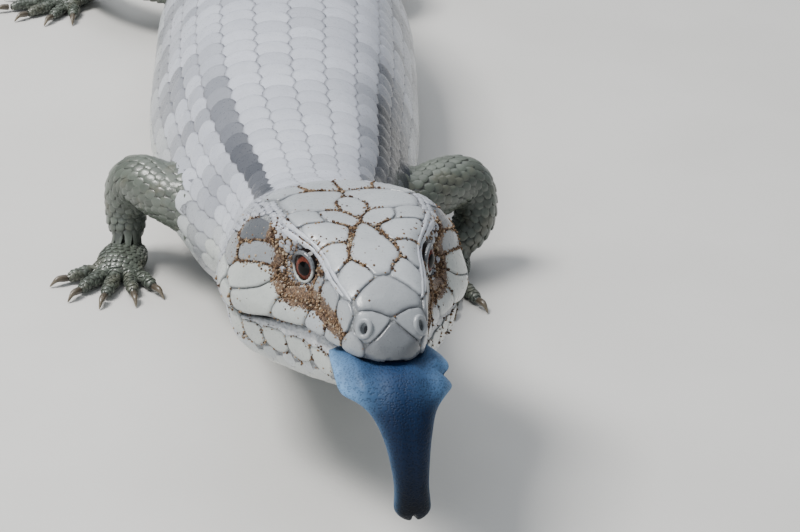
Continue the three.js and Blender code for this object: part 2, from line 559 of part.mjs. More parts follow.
// One foot: a flat palm with five toes fanned on the ground, and a separate claw on each toe
function footPieces(limb, side, sign, ankle) {
  const [lastBody] = limb[side].at(-1);
  const swing = radians(keyed(SWING, lastBody));
  const turn = (degrees) => {
    const angle = swing - sign * radians(degrees);
    return new THREE.Vector3(-Math.sin(angle), -Math.cos(angle), 0);
  };
  const heading = turn(limb.heading[side]);
  const root = ankle.clone().setZ(PALM_HEIGHT.wrist);
  const knuckle = root.clone().addScaledVector(heading, limb.palm);
  const across = heading.clone().cross(UP).multiplyScalar(-sign);
  const heel = root.clone().addScaledVector(heading, -PALM_BACK);
  const palmJoints = [heel, root.clone().lerp(knuckle, 0.4), knuckle.setZ(PALM_HEIGHT.knuckle)];
  const palm = (grow) => limbTube(palmJoints, PALM_RADII, UP, { grow, flat: 0.56, step: 0.17 });
  const toe = (i, grow) => {
    const aim = turn(limb.heading[side] + TOE_FAN[i]);
    const base = knuckle.clone().addScaledVector(across, (i - 2) * TOE_SPACING)
      .addScaledVector(heading, -TOE_ROOT.back).setZ(TOE_ROOT.height);
    const tip = base.clone().addScaledVector(aim, limb.toes[i] + TOE_TIP.on).setZ(TOE_TIP.height);
    const bend = base.clone().lerp(tip, TOE_BEND.share).setZ(TOE_BEND.height);
    const radii = [[0, TOE_RADIUS], [0.8, TOE_RADIUS * 0.86], [1, TOE_RADIUS * 0.66]];
    return {
      solid: limbTube([base, bend, tip], radii, UP, { grow, sides: 7, step: 0.25 }),
      tip,
      aim,
    };
  };
  return { palm, toe };
}

function clawSolid(tip, aim) {
  const profile = [
    new THREE.Vector2(0, 0),
    new THREE.Vector2(CLAW_RADIUS, 0),
    new THREE.Vector2(CLAW_RADIUS * 0.62, CLAW_LENGTH * 0.55),
    new THREE.Vector2(0, CLAW_LENGTH),
  ];
  const cone = new THREE.LatheGeometry(profile, 8);
  const lie = aim.clone().setZ(CLAW_DIP).normalize();
  const turn = new THREE.Quaternion().setFromUnitVectors(new THREE.Vector3(0, 1, 0), lie);
  const root = tip.clone().addScaledVector(aim, 0.5).setZ(CLAW_RADIUS + CLAW_LIFT);
  cone.applyMatrix4(new THREE.Matrix4().makeRotationFromQuaternion(turn).setPosition(root));
  return solid(cone);
}

for (const [kind, limb] of Object.entries(LIMBS)) {
  for (const [side, sign] of [["left", 1], ["right", -1]]) {
    const joints = limb[side].map((joint) => jointPoint(joint, sign));
    const leg = (grow) => limbTube(joints, limb.radii, FORWARD, { grow });
    let cutLeg = leg(0);
    for (const cutter of [neckCutter, torsoCutter, tailCutter]) cutLeg = cutLeg.subtract(cutter);
    addNode(`${kind}_${side}`, cutLeg, limbSkin);
    const { palm, toe } = footPieces(limb, side, sign, joints.at(-1));
    let foot = palm(0);
    let footCutter = palm(GAP);
    for (let i = 0; i < limb.toes.length; i++) {
      foot = foot.add(toe(i, 0).solid);
      footCutter = footCutter.add(toe(i, GAP).solid);
    }
    const foreOrHind = kind === "foreleg" ? "forefoot" : "hindfoot";
    addNode(`${foreOrHind}_${side}`, foot.subtract(leg(GAP)), limbSkin);
    for (let i = 0; i < limb.toes.length; i++) {
      const { tip, aim } = toe(i, 0);
      addNode(`claw_${foreOrHind}_${side}_${i + 1}`, clawSolid(tip, aim).subtract(footCutter), horn);
    }
  }
}

// The part's origin is on the ground, under the middle of the animal
const bounds = new THREE.Box3().setFromObject(skink);
const middle = bounds.getCenter(new THREE.Vector3());
skink.position.set(-middle.x, -middle.y, -bounds.min.z);

export default skink;
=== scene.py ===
"""Blue-tongued skink, a life-size still model: it lies on its belly and hangs out its broad blue tongue."""
import json
import math

import bmesh
import bpy
import numpy as np
from bpy.props import FloatProperty, FloatVectorProperty, IntProperty, PointerProperty
from mathutils import Matrix, Vector
from mathutils.bvhtree import BVHTree
from mathutils.kdtree import KDTree

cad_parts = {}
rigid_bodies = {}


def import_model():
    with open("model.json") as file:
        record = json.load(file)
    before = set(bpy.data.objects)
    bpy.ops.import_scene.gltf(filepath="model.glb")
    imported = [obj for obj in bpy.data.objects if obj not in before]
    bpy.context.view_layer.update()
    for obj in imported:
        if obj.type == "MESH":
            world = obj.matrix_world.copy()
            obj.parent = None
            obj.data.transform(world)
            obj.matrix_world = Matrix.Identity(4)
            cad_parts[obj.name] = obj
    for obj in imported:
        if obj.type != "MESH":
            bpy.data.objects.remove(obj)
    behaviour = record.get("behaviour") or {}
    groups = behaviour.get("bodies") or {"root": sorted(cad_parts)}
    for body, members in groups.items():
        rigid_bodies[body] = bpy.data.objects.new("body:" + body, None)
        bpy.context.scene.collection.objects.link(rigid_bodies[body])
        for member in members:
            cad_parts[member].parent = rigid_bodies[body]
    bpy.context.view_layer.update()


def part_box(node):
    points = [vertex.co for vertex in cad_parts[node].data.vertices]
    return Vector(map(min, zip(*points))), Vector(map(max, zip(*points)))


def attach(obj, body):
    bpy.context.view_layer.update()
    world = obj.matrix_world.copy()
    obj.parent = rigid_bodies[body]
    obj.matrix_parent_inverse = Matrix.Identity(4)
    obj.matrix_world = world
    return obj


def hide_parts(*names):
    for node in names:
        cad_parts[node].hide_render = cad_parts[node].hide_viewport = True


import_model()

bl_info = {
    "name": "Blue-tongued Skink",
    "version": (1, 0, 0),
    "blender": (4, 5, 0),
    "location": "3D View > Sidebar > Skink",
    "description": "A life-size still model of a blue-tongued skink, piece by piece",
    "category": "Object",
}

MM = 0.001

# The animal's own measures, in millimetres and degrees. Stations run back from the snout tip.
LIP_HEIGHT = 40.0
SNOUT_ROUNDING = 6.0
MOUTH_CORNER = 41.0
HEAD_END = 58.0
TAIL_TIP = 452.0
COAT = 0.3  # how far the skin lies under the faces of the scales

SLOPE = [[0, -11], [56, -11], [70, -13], [92, -8], [112, -1.5], [140, 0.3], [230, -0.5], [290, -5],
         [452, -5.6]]
SWING = [[0, 0], [56, 0], [76, 7], [104, 5], [140, 10], [190, 12], [240, 4], [290, -12], [350, -30],
         [452, -44]]
HEAD_TOP = [[0, 6], [1.3, 6.7], [3, 8], [6, 10.3], [9.7, 12.7], [15, 15], [27, 18.4], [40, 19.9], [50, 20.3],
            [60, 19.2]]
BROW_X = [[0, 4.8], [3, 5.5], [8, 6.9], [14, 8.5], [20, 10.4], [26, 12.5], [32, 14.2], [40, 16], [60, 15]]
BROW_Z = [[0, 5.2], [3, 6.8], [8, 9.7], [14, 12.1], [20, 14.7], [26, 17], [32, 18.3], [40, 18.6], [60, 15.6]]
CHEEK_X = [[0, 5.6], [4, 6.8], [8, 7.8], [14, 10.2], [20, 13.2], [26, 16.8], [32, 20.4], [38, 22.8],
           [44, 23.4], [50, 22.8], [60, 20.4]]
CHEEK_Z = [[0, 2.8], [8, 4.2], [20, 5.4], [30, 6.2], [44, 6.2], [60, 3]]
LIP_X = [[0, 5.4], [4, 6.2], [8, 7.2], [13, 9.7], [18, 12.6], [23, 15.8], [28, 18.4], [32, 20.4], [36, 22],
         [42, 22.6], [60, 19.6]]
LIP_Z = [[0, 0], [6, -0.4], [13, 0.7], [20, 1.9], [28, 1.4], [36, 0.4], [44, -0.8], [60, -3.5]]
JAW_X = [[0, 4.9], [4, 5.9], [8, 6.9], [13, 8.6], [20, 11.4], [27, 14.2], [35, 17.2], [42, 18.6], [60, 16.8]]
JAW_Z = [[0, -2.6], [6, -3.6], [13, -5], [20, -6.6], [27, -7.8], [35, -8.6], [44, -9], [60, -10]]
THROAT_Z = [[0, -4], [5, -5.4], [10, -6.8], [25, -10], [44, -13.6], [60, -14.6]]
MOUTH_DROP = [[0, 3.6], [6, 3.4], [14, 2.8], [24, 1.9], [32, 1], [40, 0.5], [46, 0.4]]
LIP_OVERHANG = [[0, 0.3], [10, 1], [24, 1.5], [36, 0.9], [44, 0]]
HOLLOWS = [(23.8, 11.6, 6.6, 4.6, 3.1), (13, 6.5, 5, 3, 0.5), (40, 12.5, 9, 3, -0.5)]
BODY_X = [[50, 21], [60, 19.4], [70, 18], [84, 19], [98, 23], [120, 26.6], [165, 30.6], [210, 31], [245, 26],
          [268, 19.5], [290, 16], [340, 12.8], [396, 8.6], [430, 5.2], [446, 3], [452, 1.2]]
BODY_TOP = [[50, 20], [60, 18.6], [72, 17.4], [86, 18.8], [100, 21], [125, 23.6], [170, 25.5], [220, 24],
            [255, 20.4], [290, 16.4], [340, 12.4], [396, 8.2], [430, 4.8], [446, 2.8], [452, 1.2]]
BODY_BELOW = [[50, 14.4], [60, 14.6], [86, 16], [100, 17.4], [125, 21], [170, 24.5], [220, 24], [255, 21.5],
              [290, 18.6], [340, 14.5], [396, 9.5], [430, 6], [446, 4], [452, 2]]

EYE = {"x": 8.9, "s": 24.3, "z": 11.6, "radius": 4.2, "facing": (0.917, -0.4, 0.05),
       "gaze": (0.76, -0.65, 0.02)}
EYE_CENTRE = np.array([EYE["x"], EYE["s"], EYE["z"]])
NOSTRIL = {"centre": (4.9, 2.9, 5.2), "half": (1.1, 0.9, 1.3)}
EAR = {"centre": (20.7, 54.3, 2.2), "half": (2.4, 1.7, 3.1)}

# Head shields. Seen from above the marks are (station, distance from the midline), from the side
# (station, height above the lip line) and from the front (distance, height).
MIDLINE_SHIELDS = {
    "rostral": ("front", [[0, 6.2], [1.6, 4.9], [4.3, 2.6], [4.5, 0.5], [2.4, 0.2]]),
    "frontonasal": ("top", [[9.8, 0], [9.3, 1.9], [8.3, 3.8], [6.7, 5.6], [5.4, 5.4], [4.5, 3.9], [3.4, 1]]),
    "frontal": ("top", [[27.2, 0], [21, 2.3], [16.4, 4.6], [14.8, 3.8], [13, 2.3], [10.6, 1.2]]),
    "interparietal": ("top", [[40.2, 0], [39.4, 1.7], [36, 2.6], [32.8, 2.2], [30.6, 1]]),
}
PAIRED_SHIELDS = {
    "nasal": ("front", [[5.9, 5.6], [5.2, 7.6], [3.4, 8], [1.5, 7.4], [0.4, 6.7], [1.8, 5.2], [4.6, 2.8],
                        [5.6, 3.6]]),
    "prefrontal": ("top", [[15.3, 4.7], [12.2, 2.4], [10.1, 1.6], [9, 2.9], [7.4, 6], [9.3, 6.9],
                           [12.4, 7.4]]),
    "supraocular_1": ("top", [[20, 4.8], [20.6, 7], [20.6, 8.9], [18.5, 8.8], [14.6, 7.5], [16.2, 5]]),
    "supraocular_2": ("top", [[25.2, 3.2], [26.8, 6], [27.4, 11], [23.6, 10.4], [21, 9], [20.9, 7],
                              [20.3, 4.6]]),
    "supraocular_3": ("top", [[27.7, 6.8], [31.6, 7.4], [32.8, 10], [32.2, 12.6], [28, 11.6]]),
    "frontoparietal": ("top", [[27.8, 0.5], [31, 2.2], [32.3, 4], [31.8, 7], [29, 7], [25.6, 3],
                               [26.2, 1.2]]),
    "parietal": ("top", [[43.8, 0.4], [44.4, 5], [43.2, 9.4], [39, 12.6], [33.4, 12], [32.6, 7], [33, 3],
                         [36, 3.2], [41, 0.5]]),
    "nuchal": ("top", [[44.6, 0.3], [45.2, 6], [49.4, 7], [53, 4.4], [53, 0.3]]),
    "upper_temporal": ("top", [[44.9, 6.4], [44, 9.8], [42, 12.4], [46, 14.6], [50, 12], [50, 7.6]]),
    "loreal_1": ("side", [[5.6, 6.8], [7.4, 8.4], [9.6, 8.6], [10.6, 6.2], [9.4, 3.6], [7.4, 3.4]]),
    "loreal_2": ("side", [[10.4, 9], [14, 10.6], [16, 9.6], [15.6, 6.4], [13.4, 5.2], [10.6, 4.2],
                          [11.2, 6.6]]),
    "preocular": ("side", [[16.5, 10.4], [16.4, 7], [18.4, 7.6], [18.4, 10.6]]),
    "subocular": ("side", [[19, 7], [20.8, 6.2], [24.8, 6.4], [24.8, 7.2], [21.4, 7.8]]),
    "supralabial_1": ("side", [[3.2, 0.4], [3.2, 2.6], [4.6, 3.8], [7, 3], [9, 1.6], [9.1, 0.2]]),
    "supralabial_2": ("side", [[9.6, 0.4], [9.4, 1.9], [8.2, 2.8], [12.6, 4.4], [13.3, 1.2]]),
    "supralabial_3": ("side", [[13.8, 1.4], [13.1, 4.5], [16, 5.2], [17.6, 4.4], [17.9, 2.2]]),
    "supralabial_4": ("side", [[18.4, 2.3], [18.1, 4.5], [20.8, 5.6], [23, 5.8], [25, 4.8], [25.5, 2.3]]),
    "supralabial_5": ("side", [[26.1, 2.4], [25.8, 7.2], [27.3, 8], [29.6, 6], [36.2, 4.1], [37.2, 1.4],
                               [33, 1.1]]),
    "supralabial_6": ("side", [[37.8, 1.4], [36.9, 4.2], [40.6, 5], [43, 2.8], [41.4, 0.2]]),
    "cheek": ("side", [[28.6, 8.4], [28.9, 9.8], [32, 10.2], [36.8, 9.4], [39.6, 7], [37.2, 5], [33.2, 5.5],
                       [30.2, 6.7]]),
    "temporal_1": ("side", [[31.4, 15.2], [33.4, 16.6], [37.4, 16.9], [41, 15.6], [39.6, 13.6], [36, 14.3]]),
    "temporal_2": ("side", [[28.5, 11], [28.8, 13], [31, 13.9], [34, 13.7], [37.6, 12.2], [36.8, 10.1],
                            [32, 10.9]]),
    "temporal_3": ("side", [[38.4, 12.4], [40.6, 13.4], [44, 12.6], [44.6, 9.4], [40.6, 8.2], [37.8, 10]]),
    "temporal_4": ("side", [[40.6, 6.6], [41.2, 7.7], [45.2, 8.7], [48, 5.6], [44, 3.2], [41.6, 5.4]]),
}
INFRALABIALS = [8.5, 13.5, 19, 25, 31.2, 37, 42.6]

TONGUE_PATH = [[0, 15, 35.2], [0, 1.5, 37.9], [0.1, -4.2, 36.6], [0.4, -8.4, 31.8], [0.8, -10.4, 26],
               [1.3, -11.2, 19.6], [1.8, -11, 13.6]]
TONGUE_HALF_WIDTH = [[0, 8.8], [0.22, 10.4], [0.32, 10.7], [0.42, 10.1], [0.47, 8.6], [0.52, 6.2],
                     [0.58, 5.2], [0.67, 4.1], [0.76, 3.5], [0.86, 3.1], [0.92, 3.4], [0.945, 3.35],
                     [0.965, 3], [0.98, 2.4], [0.993, 1.4], [1, 0.5]]
TONGUE_THICKNESS = [[0, 1.2], [0.16, 2], [0.3, 2.6], [0.45, 3.4], [0.6, 4.2], [0.8, 4], [0.94, 4.3],
                    [0.985, 3], [1, 0.7]]
TONGUE_DROOP = [[0, 0.2], [0.25, 0.8], [0.4, 2.4], [0.52, 1.2], [0.7, 0.3], [1, 0]]

LIMBS = {
    "foreleg_left": [[104, 12, 16], [113, 26, 20], [122, 39, 19.5], [121, 41, 12], [117, 36, 5.2]],
    "foreleg_right": [[104, 12, 16], [113, 24, 20], [123, 34, 19.5], [125, 35.5, 12], [123, 35, 5.2]],
    "hindleg_left": [[262, 9, 15], [266, 22, 16], [271, 34, 15], [284, 40, 9.5], [292, 41, 5.2]],
    "hindleg_right": [[262, 9, 15], [267, 22, 16], [274, 33, 15], [290, 37, 9.5], [302, 36, 5.2]],
}
LIMB_RADII = {
    "foreleg": [[0, 8.5], [0.35, 6.6], [0.55, 6.2], [0.75, 5.2], [1, 4]],
    "hindleg": [[0, 10], [0.3, 8.2], [0.55, 6.4], [0.75, 5.4], [1, 4.2]],
}
HEADING = {"foreleg_left": -24, "foreleg_right": 16, "hindleg_left": 66, "hindleg_right": 72}
PALM = {"foreleg": 11, "hindleg": 13}
TOES = {"foreleg": [5.2, 8, 10, 9.6, 6.6], "hindleg": [5, 8.6, 11.4, 12.6, 7.6]}
TOE_FAN = [-46, -22, 0, 20, 46]
TOE_RADIUS = 1.75
PALM_FLATNESS = 0.56
PALM_RADII = [[0, 3.9], [0.3, 4.8], [0.7, 5.6], [1, 4.2]]
CLAW_LENGTH = 3.4
CLAW_RADIUS = 0.85
CLAW_SIDES, CLAW_RINGS = 14, 18


# ---- Curves and the surface of the body ----
def keyed(keys, s):
    """A smooth, monotone curve through [station, value] pairs."""
    table = np.array(keys, float)
    xs, ys = table[:, 0], table[:, 1]
    s = np.asarray(s, float)
    span = np.diff(xs)
    rise = np.diff(ys) / span
    slope = np.zeros(len(xs))
    slope[0], slope[-1] = rise[0], rise[-1]
    for i in range(1, len(xs) - 1):
        if rise[i - 1] * rise[i] > 0:
            before, after = 2 * span[i] + span[i - 1], span[i] + 2 * span[i - 1]
            slope[i] = (before + after) / (before / rise[i - 1] + after / rise[i])
    i = np.clip(np.searchsorted(xs, s, side="left") - 1, 0, len(xs) - 2)
    t = np.clip((s - xs[i]) / span[i], 0, 1)
    return ((2 * t**3 - 3 * t**2 + 1) * ys[i] + (t**3 - 2 * t**2 + t) * span[i] * slope[i]
            + (3 * t**2 - 2 * t**3) * ys[i + 1] + (t**3 - t**2) * span[i] * slope[i + 1])


def ease(low, high, s):
    """From 0 to 1 between two stations, smooth at both."""
    t = np.clip((np.asarray(s, float) - low) / (high - low), 0, 1)
    return t * t * (3 - 2 * t)


def unit(v):
    """Vectors of length one."""
    return v / np.maximum(np.linalg.norm(v, axis=-1, keepdims=True), 1e-9)


def body_direction(s):
    """Which way the line of the body runs at each station."""
    slope, swing = np.radians(keyed(SLOPE, s)), np.radians(keyed(SWING, s))
    return np.stack([np.sin(swing) * np.cos(slope), np.cos(swing) * np.cos(slope), np.sin(slope)], -1)


SPINE_STEP = 0.5
SPINE_S = np.arange(0, TAIL_TIP + SPINE_STEP / 2, SPINE_STEP)
SPINE_STEPS = body_direction(SPINE_S[:-1] + SPINE_STEP / 2) * SPINE_STEP
SPINE = np.vstack([[0, 0, LIP_HEIGHT], [0, 0, LIP_HEIGHT] + np.cumsum(SPINE_STEPS, 0)])


def place(s, side, up):
    """The point beside and above the line of the body at each station."""
    s = np.asarray(s, float)
    point = np.stack([np.interp(s, SPINE_S, SPINE[:, k]) for k in range(3)], -1)
    swing = np.radians(keyed(SWING, s))
    left = np.stack([np.cos(swing), -np.sin(swing), np.zeros_like(swing)], -1)
    over = np.cross(left, body_direction(s))
    return point + left * np.asarray(side)[..., None] + over * np.asarray(up)[..., None]


HEAD_ALONG = body_direction(0.0)
HEAD_OVER = np.cross([1.0, 0, 0], HEAD_ALONG)


def from_head(points):
    """Points of the head's own frame (x, station, height above the lip line), set on the neck."""
    p = np.asarray(points, float)
    return p[..., :1] * [1.0, 0, 0] + p[..., 1:2] * HEAD_ALONG + p[..., 2:] * HEAD_OVER + [0, 0, LIP_HEIGHT]


def to_head(points):
    """Points in the head's own frame."""
    p = np.asarray(points, float) - [0, 0, LIP_HEIGHT]
    return np.stack([p[..., 0], p @ HEAD_ALONG, p @ HEAD_OVER], -1)


def to_its_side(head):
    """Factors that carry a place given for the left side to the side of each head point."""
    return np.stack([np.sign(head[:, 0]), np.ones(len(head)), np.ones(len(head))], -1)


def half_section(s):
    """Six control points of a half section, from the crown down to the throat or the belly."""
    wide, top, below = keyed(BODY_X, s), keyed(BODY_TOP, s), keyed(BODY_BELOW, s)
    none = np.zeros_like(wide)
    body = [(none, top), (0.64 * wide, 0.8 * top), (wide, 0.02 * top), (0.93 * wide, -0.5 * below),
            (0.6 * wide, -0.87 * below), (none, -below)]
    sides = [(BROW_X, BROW_Z), (CHEEK_X, CHEEK_Z), (LIP_X, LIP_Z), (JAW_X, JAW_Z)]
    head = [(none, keyed(HEAD_TOP, s)), *((keyed(out, s), keyed(up, s)) for out, up in sides),
            (none, keyed(THROAT_Z, s))]
    stack = lambda pairs: np.stack([np.stack(pair, -1) for pair in pairs], -2)
    rounding = np.sqrt(np.clip(1 - np.clip(1 - s / SNOUT_ROUNDING, 0, 1) ** 2, 0, 1))[..., None, None]
    blend = ease(50, 66, s)[..., None, None]
    return stack(head) * rounding * (1 - blend) + stack(body) * blend


def section(s, q):
    """Side and height on the closed section: q runs 0 to 5 down the left side and 5 to 10 up the right."""
    s, q = np.broadcast_arrays(np.asarray(s, float), np.mod(np.asarray(q, float), 10))
    half = half_section(s)
    ring = np.concatenate([half, half[..., 4:0:-1, :] * np.array([-1, 1.0])], axis=-2)
    i = np.floor(q).astype(int)
    t = (q - i)[..., None]
    pick = [((i + k) % 10)[..., None, None].repeat(2, -1) for k in (-1, 0, 1, 2)]
    a, b, c, d = (np.take_along_axis(ring, each, axis=-2)[..., 0, :] for each in pick)
    p = 0.5 * (2 * b + (c - a) * t + (2 * a - 5 * b + 4 * c - d) * t**2 + (3 * b - a - 3 * c + d) * t**3)
    x, z = p[..., 0], p[..., 1]
    fold = np.minimum(q, 10 - q)
    on_head = s < HEAD_END
    lower = ease(3, 3.12, fold) * (1 - ease(MOUTH_CORNER, 50, s)) * on_head
    z = z - keyed(MOUTH_DROP, s) * lower
    inward = keyed(LIP_OVERHANG, s) * lower
    for at_s, at_z, along, up, depth in HOLLOWS:
        nearness = ((s - at_s) / along) ** 2 + ((z - at_z) / up) ** 2
        inward = inward + depth * np.exp(-nearness) * ease(0.4, 1, fold) * on_head
    return x - np.sign(x) * inward * np.minimum(1, np.abs(x) / 4), z


def body_point(s, q):
    """The point of the surface at a station and a place on the section."""
    s, q = np.broadcast_arrays(np.asarray(s, float), np.asarray(q, float))
    return place(s, *section(s, q))


def path(joints, count=None, at=None):
    """Points and directions at even steps on a smooth line through the joints."""
    p = np.array(joints, float)
    p = np.vstack([2 * p[0] - p[1], p, 2 * p[-1] - p[-2]])
    fine = []
    for k in range(1, len(p) - 2):
        a, b, c, d = p[k - 1:k + 3]
        da, db, dc = (max(np.linalg.norm(v) ** 0.5, 1e-4) for v in (b - a, c - b, d - c))
        t1 = ((b - a) / da - (c - a) / (da + db) + (c - b) / db) * db
        t2 = ((c - b) / db - (d - b) / (db + dc) + (d - c) / dc) * db
        t = np.linspace(0, 1, 60, endpoint=k == len(p) - 3)[:, None]
        fine.append(b + t1 * t + (-3 * b + 3 * c - 2 * t1 - t2) * t**2 + (2 * b - 2 * c + t1 + t2) * t**3)
    fine = np.vstack(fine)
    length = np.concatenate([[0], np.cumsum(np.linalg.norm(np.diff(fine, axis=0), axis=1))])
    share = np.linspace(0, 1, count) if at is None else np.asarray(at, float)
    pick = lambda u: np.stack([np.interp(u * length[-1], length, fine[:, k]) for k in range(3)], -1)
    return pick(share), unit(pick(np.minimum(share + 0.01, 1)) - pick(np.maximum(share - 0.01, 0)))


# ---- Meshes from rings, and their care ----
def eye_shift():
    """How far the part's frame lies from the frame of the lines above."""
    low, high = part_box("eye_left")
    middle = np.array((low + high) / 2) / MM
    return middle - from_head(EYE_CENTRE)


SHIFT = eye_shift()


def skin_over(rings):
    """Quads over rings of points, with a fan at each end."""
    rings = np.asarray(rings, float)
    count, n = rings.shape[:2]
    verts = np.vstack([rings.reshape(-1, 3), rings[0].mean(0), rings[-1].mean(0)])
    r, k = np.meshgrid(np.arange(count - 1), np.arange(n), indexing="ij")
    a, b = r * n + k, r * n + (k + 1) % n
    quads = np.stack([a, a + n, b + n, b], -1).reshape(-1, 4)
    k = np.arange(n)
    first, last, tail = count * n, count * n + 1, (count - 1) * n
    fans = np.concatenate([np.stack([np.full(n, first), k, (k + 1) % n], -1),
                           np.stack([np.full(n, last), tail + (k + 1) % n, tail + k], -1)])
    return verts, [tuple(f) for f in quads] + [tuple(f) for f in fans]


def write_marks(mesh, marks):
    """Give each point of a mesh its numbers, under their names."""
    for key, values in marks.items():
        layer = mesh.attributes.new(key, "FLOAT", "POINT")
        layer.data.foreach_set("value", np.asarray(values, np.float32))


def new_object(name, verts, faces, marks=None):
    """A mesh object at the origin from points in millimetres of the lines above."""
    mesh = bpy.data.meshes.new(name)
    mesh.from_pydata((np.asarray(verts) + SHIFT) * MM, [], [tuple(int(i) for i in f) for f in faces])
    write_marks(mesh, marks or {})
    mesh.update()
    made = bpy.data.objects.new(name, mesh)
    bpy.context.collection.objects.link(made)
    return made


def select_only(*objects):
    """Select these objects and have the first of them active."""
    for each in bpy.context.view_layer.objects:
        each.select_set(False)
    for each in objects:
        each.select_set(True)
    bpy.context.view_layer.objects.active = objects[0]


def select_any():
    """Have an object active, which the primitives' operators need."""
    select_only(next(iter(bpy.context.view_layer.objects)))


def face_outwards(made):
    """Turn every face of a closed piece outwards."""
    select_only(made)
    bpy.ops.object.mode_set(mode="EDIT")
    bpy.ops.mesh.select_all(action="SELECT")
    bpy.ops.mesh.normals_make_consistent(inside=False)
    bpy.ops.object.mode_set(mode="OBJECT")


def combine(base, others, operation="UNION"):
    """Join solids to the base, or cut them from it, and remove them."""
    for other in others:
        select_only(base)
        step = base.modifiers.new(operation.lower(), "BOOLEAN")
        step.operation = operation
        step.object = other
        step.solver = "MANIFOLD"
        bpy.ops.object.modifier_apply(modifier=step.name)
        bpy.data.objects.remove(other, do_unlink=True)
    if len(base.data.vertices) < 8:
        raise RuntimeError(f"{base.name} is empty after {operation.lower()}")


def points_of(made):
    """Points of an object in millimetres of the lines above."""
    co = np.zeros(len(made.data.vertices) * 3)
    made.data.vertices.foreach_get("co", co)
    return co.reshape(-1, 3) / MM - SHIFT


def set_points(made, points):
    made.data.vertices.foreach_set("co", ((np.asarray(points) + SHIFT) * MM).ravel())
    made.data.update()


def edges_of(made):
    pairs = np.zeros(len(made.data.edges) * 2, np.int64)
    made.data.edges.foreach_get("vertices", pairs)
    return pairs.reshape(-1, 2)


def soften(made, weights, rounds):
    """Relax the mesh where the weights say so."""
    points, pairs = points_of(made), edges_of(made)
    degree = np.bincount(pairs.ravel(), minlength=len(points))[:, None]
    for _ in range(rounds):
        total = np.zeros_like(points)
        np.add.at(total, pairs[:, 0], points[pairs[:, 1]])
        np.add.at(total, pairs[:, 1], points[pairs[:, 0]])
        points += np.asarray(weights)[:, None] * (total / np.maximum(degree, 1) - points)
    set_points(made, points)


def tree_of(made):
    """Surface lookup in the millimetres of the lines above."""
    made.data.calc_loop_triangles()
    triangles = np.zeros(len(made.data.loop_triangles) * 3, np.int64)
    made.data.loop_triangles.foreach_get("vertices", triangles)
    return BVHTree.FromPolygons([Vector(p) for p in points_of(made)], triangles.reshape(-1, 3).tolist())


def nearest_of(points):
    """Lookup of the nearest of many points."""
    tree = KDTree(len(points))
    for i, point in enumerate(points):
        tree.insert(point, i)
    tree.balance()
    return tree


def finish(made, material, smooth=None):
    """Give a piece its finish, and let it ride on the one rigid body."""
    made.data.materials.clear()
    made.data.materials.append(material)
    select_only(made)
    if smooth is None:
        bpy.ops.object.shade_smooth()
    else:
        bpy.ops.object.shade_smooth_by_angle(angle=math.radians(smooth))
    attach(made, "root")
    return made


def set_unwrap(made, places):
    """A small patch for each plate at its root's place on the skin's own unwrap."""
    layer = made.data.uv_layers.new(name="OFBake")
    corners = np.zeros(len(made.data.loops), np.int64)
    made.data.loops.foreach_get("vertex_index", corners)
    layer.data.foreach_set("uv", np.asarray(places, np.float32)[corners].ravel())


def speckle(s, q, seed, fine=1.0):
    """A smooth, repeatable irregularity over the body, between -1 and 1."""
    draw = np.random.default_rng(seed)
    total = np.zeros(np.broadcast(s, q).shape)
    for _ in range(7):
        along, turn, shift = draw.uniform(0.08, 0.5) * fine, draw.integers(1, 9), draw.uniform(0, 6.3)
        total = total + np.sin(along * s + turn * q * math.pi / 5 + shift)
    return np.clip(total / 3.5, -1, 1)


def markings(s, q):
    """Amounts of dark and of cream pigment on the body; the dark of the animal's left neck and flank also
    holds painted shade.
    """
    fold = np.minimum(np.mod(q, 10), 10 - np.mod(q, 10))
    wobble = speckle(s, q, 3)
    bars = 0.5 + 0.5 * np.cos((s - 70) * 2 * math.pi / 25 + 1.5 * wobble)
    flank = ease(0.9, 1.5, fold) * (1 - ease(3.2, 4.2, fold))
    dark = flank * (0.1 + 0.42 * ease(0.45, 0.9, bars)) * ease(66, 110, s)
    dark = dark + (1 - flank) * 0.1 * ease(0.5, 0.95, bars) * ease(60, 120, s) * (fold < 3)
    tail = ease(282, 310, s) * (1 - ease(3.4, 4.4, fold))
    dark = np.maximum(dark, tail * (0.1 + 0.5 * ease(0.4, 0.9, bars)))
    # The dark band along the neck is a marking on both sides; on the animal's left side, turned from the key
    # lamp, it is wider and twice as strong, as painted shade.
    left = np.mod(q, 10) < 5
    middle = np.where(left, 1.4, 0.92)
    streak_and_shade = np.exp(-(((fold - middle) / np.where(left, 0.42, 0.24)) ** 4)) * ease(54, 62, s)
    dark = np.maximum(dark, np.where(left, 1.7, 0.85) * streak_and_shade * (1 - ease(95, 165, s + 9 * wobble)))
    dark = dark + 0.08 * speckle(s * 2.2, q, 8)
    cream = ease(1.5, 2.3, fold) * ease(56, 80, s) * (1 - 0.5 * bars)
    cream = np.maximum(cream, ease(3.2, 4, fold))
    return np.clip(dark, 0, 1), np.clip(cream, 0, 1)


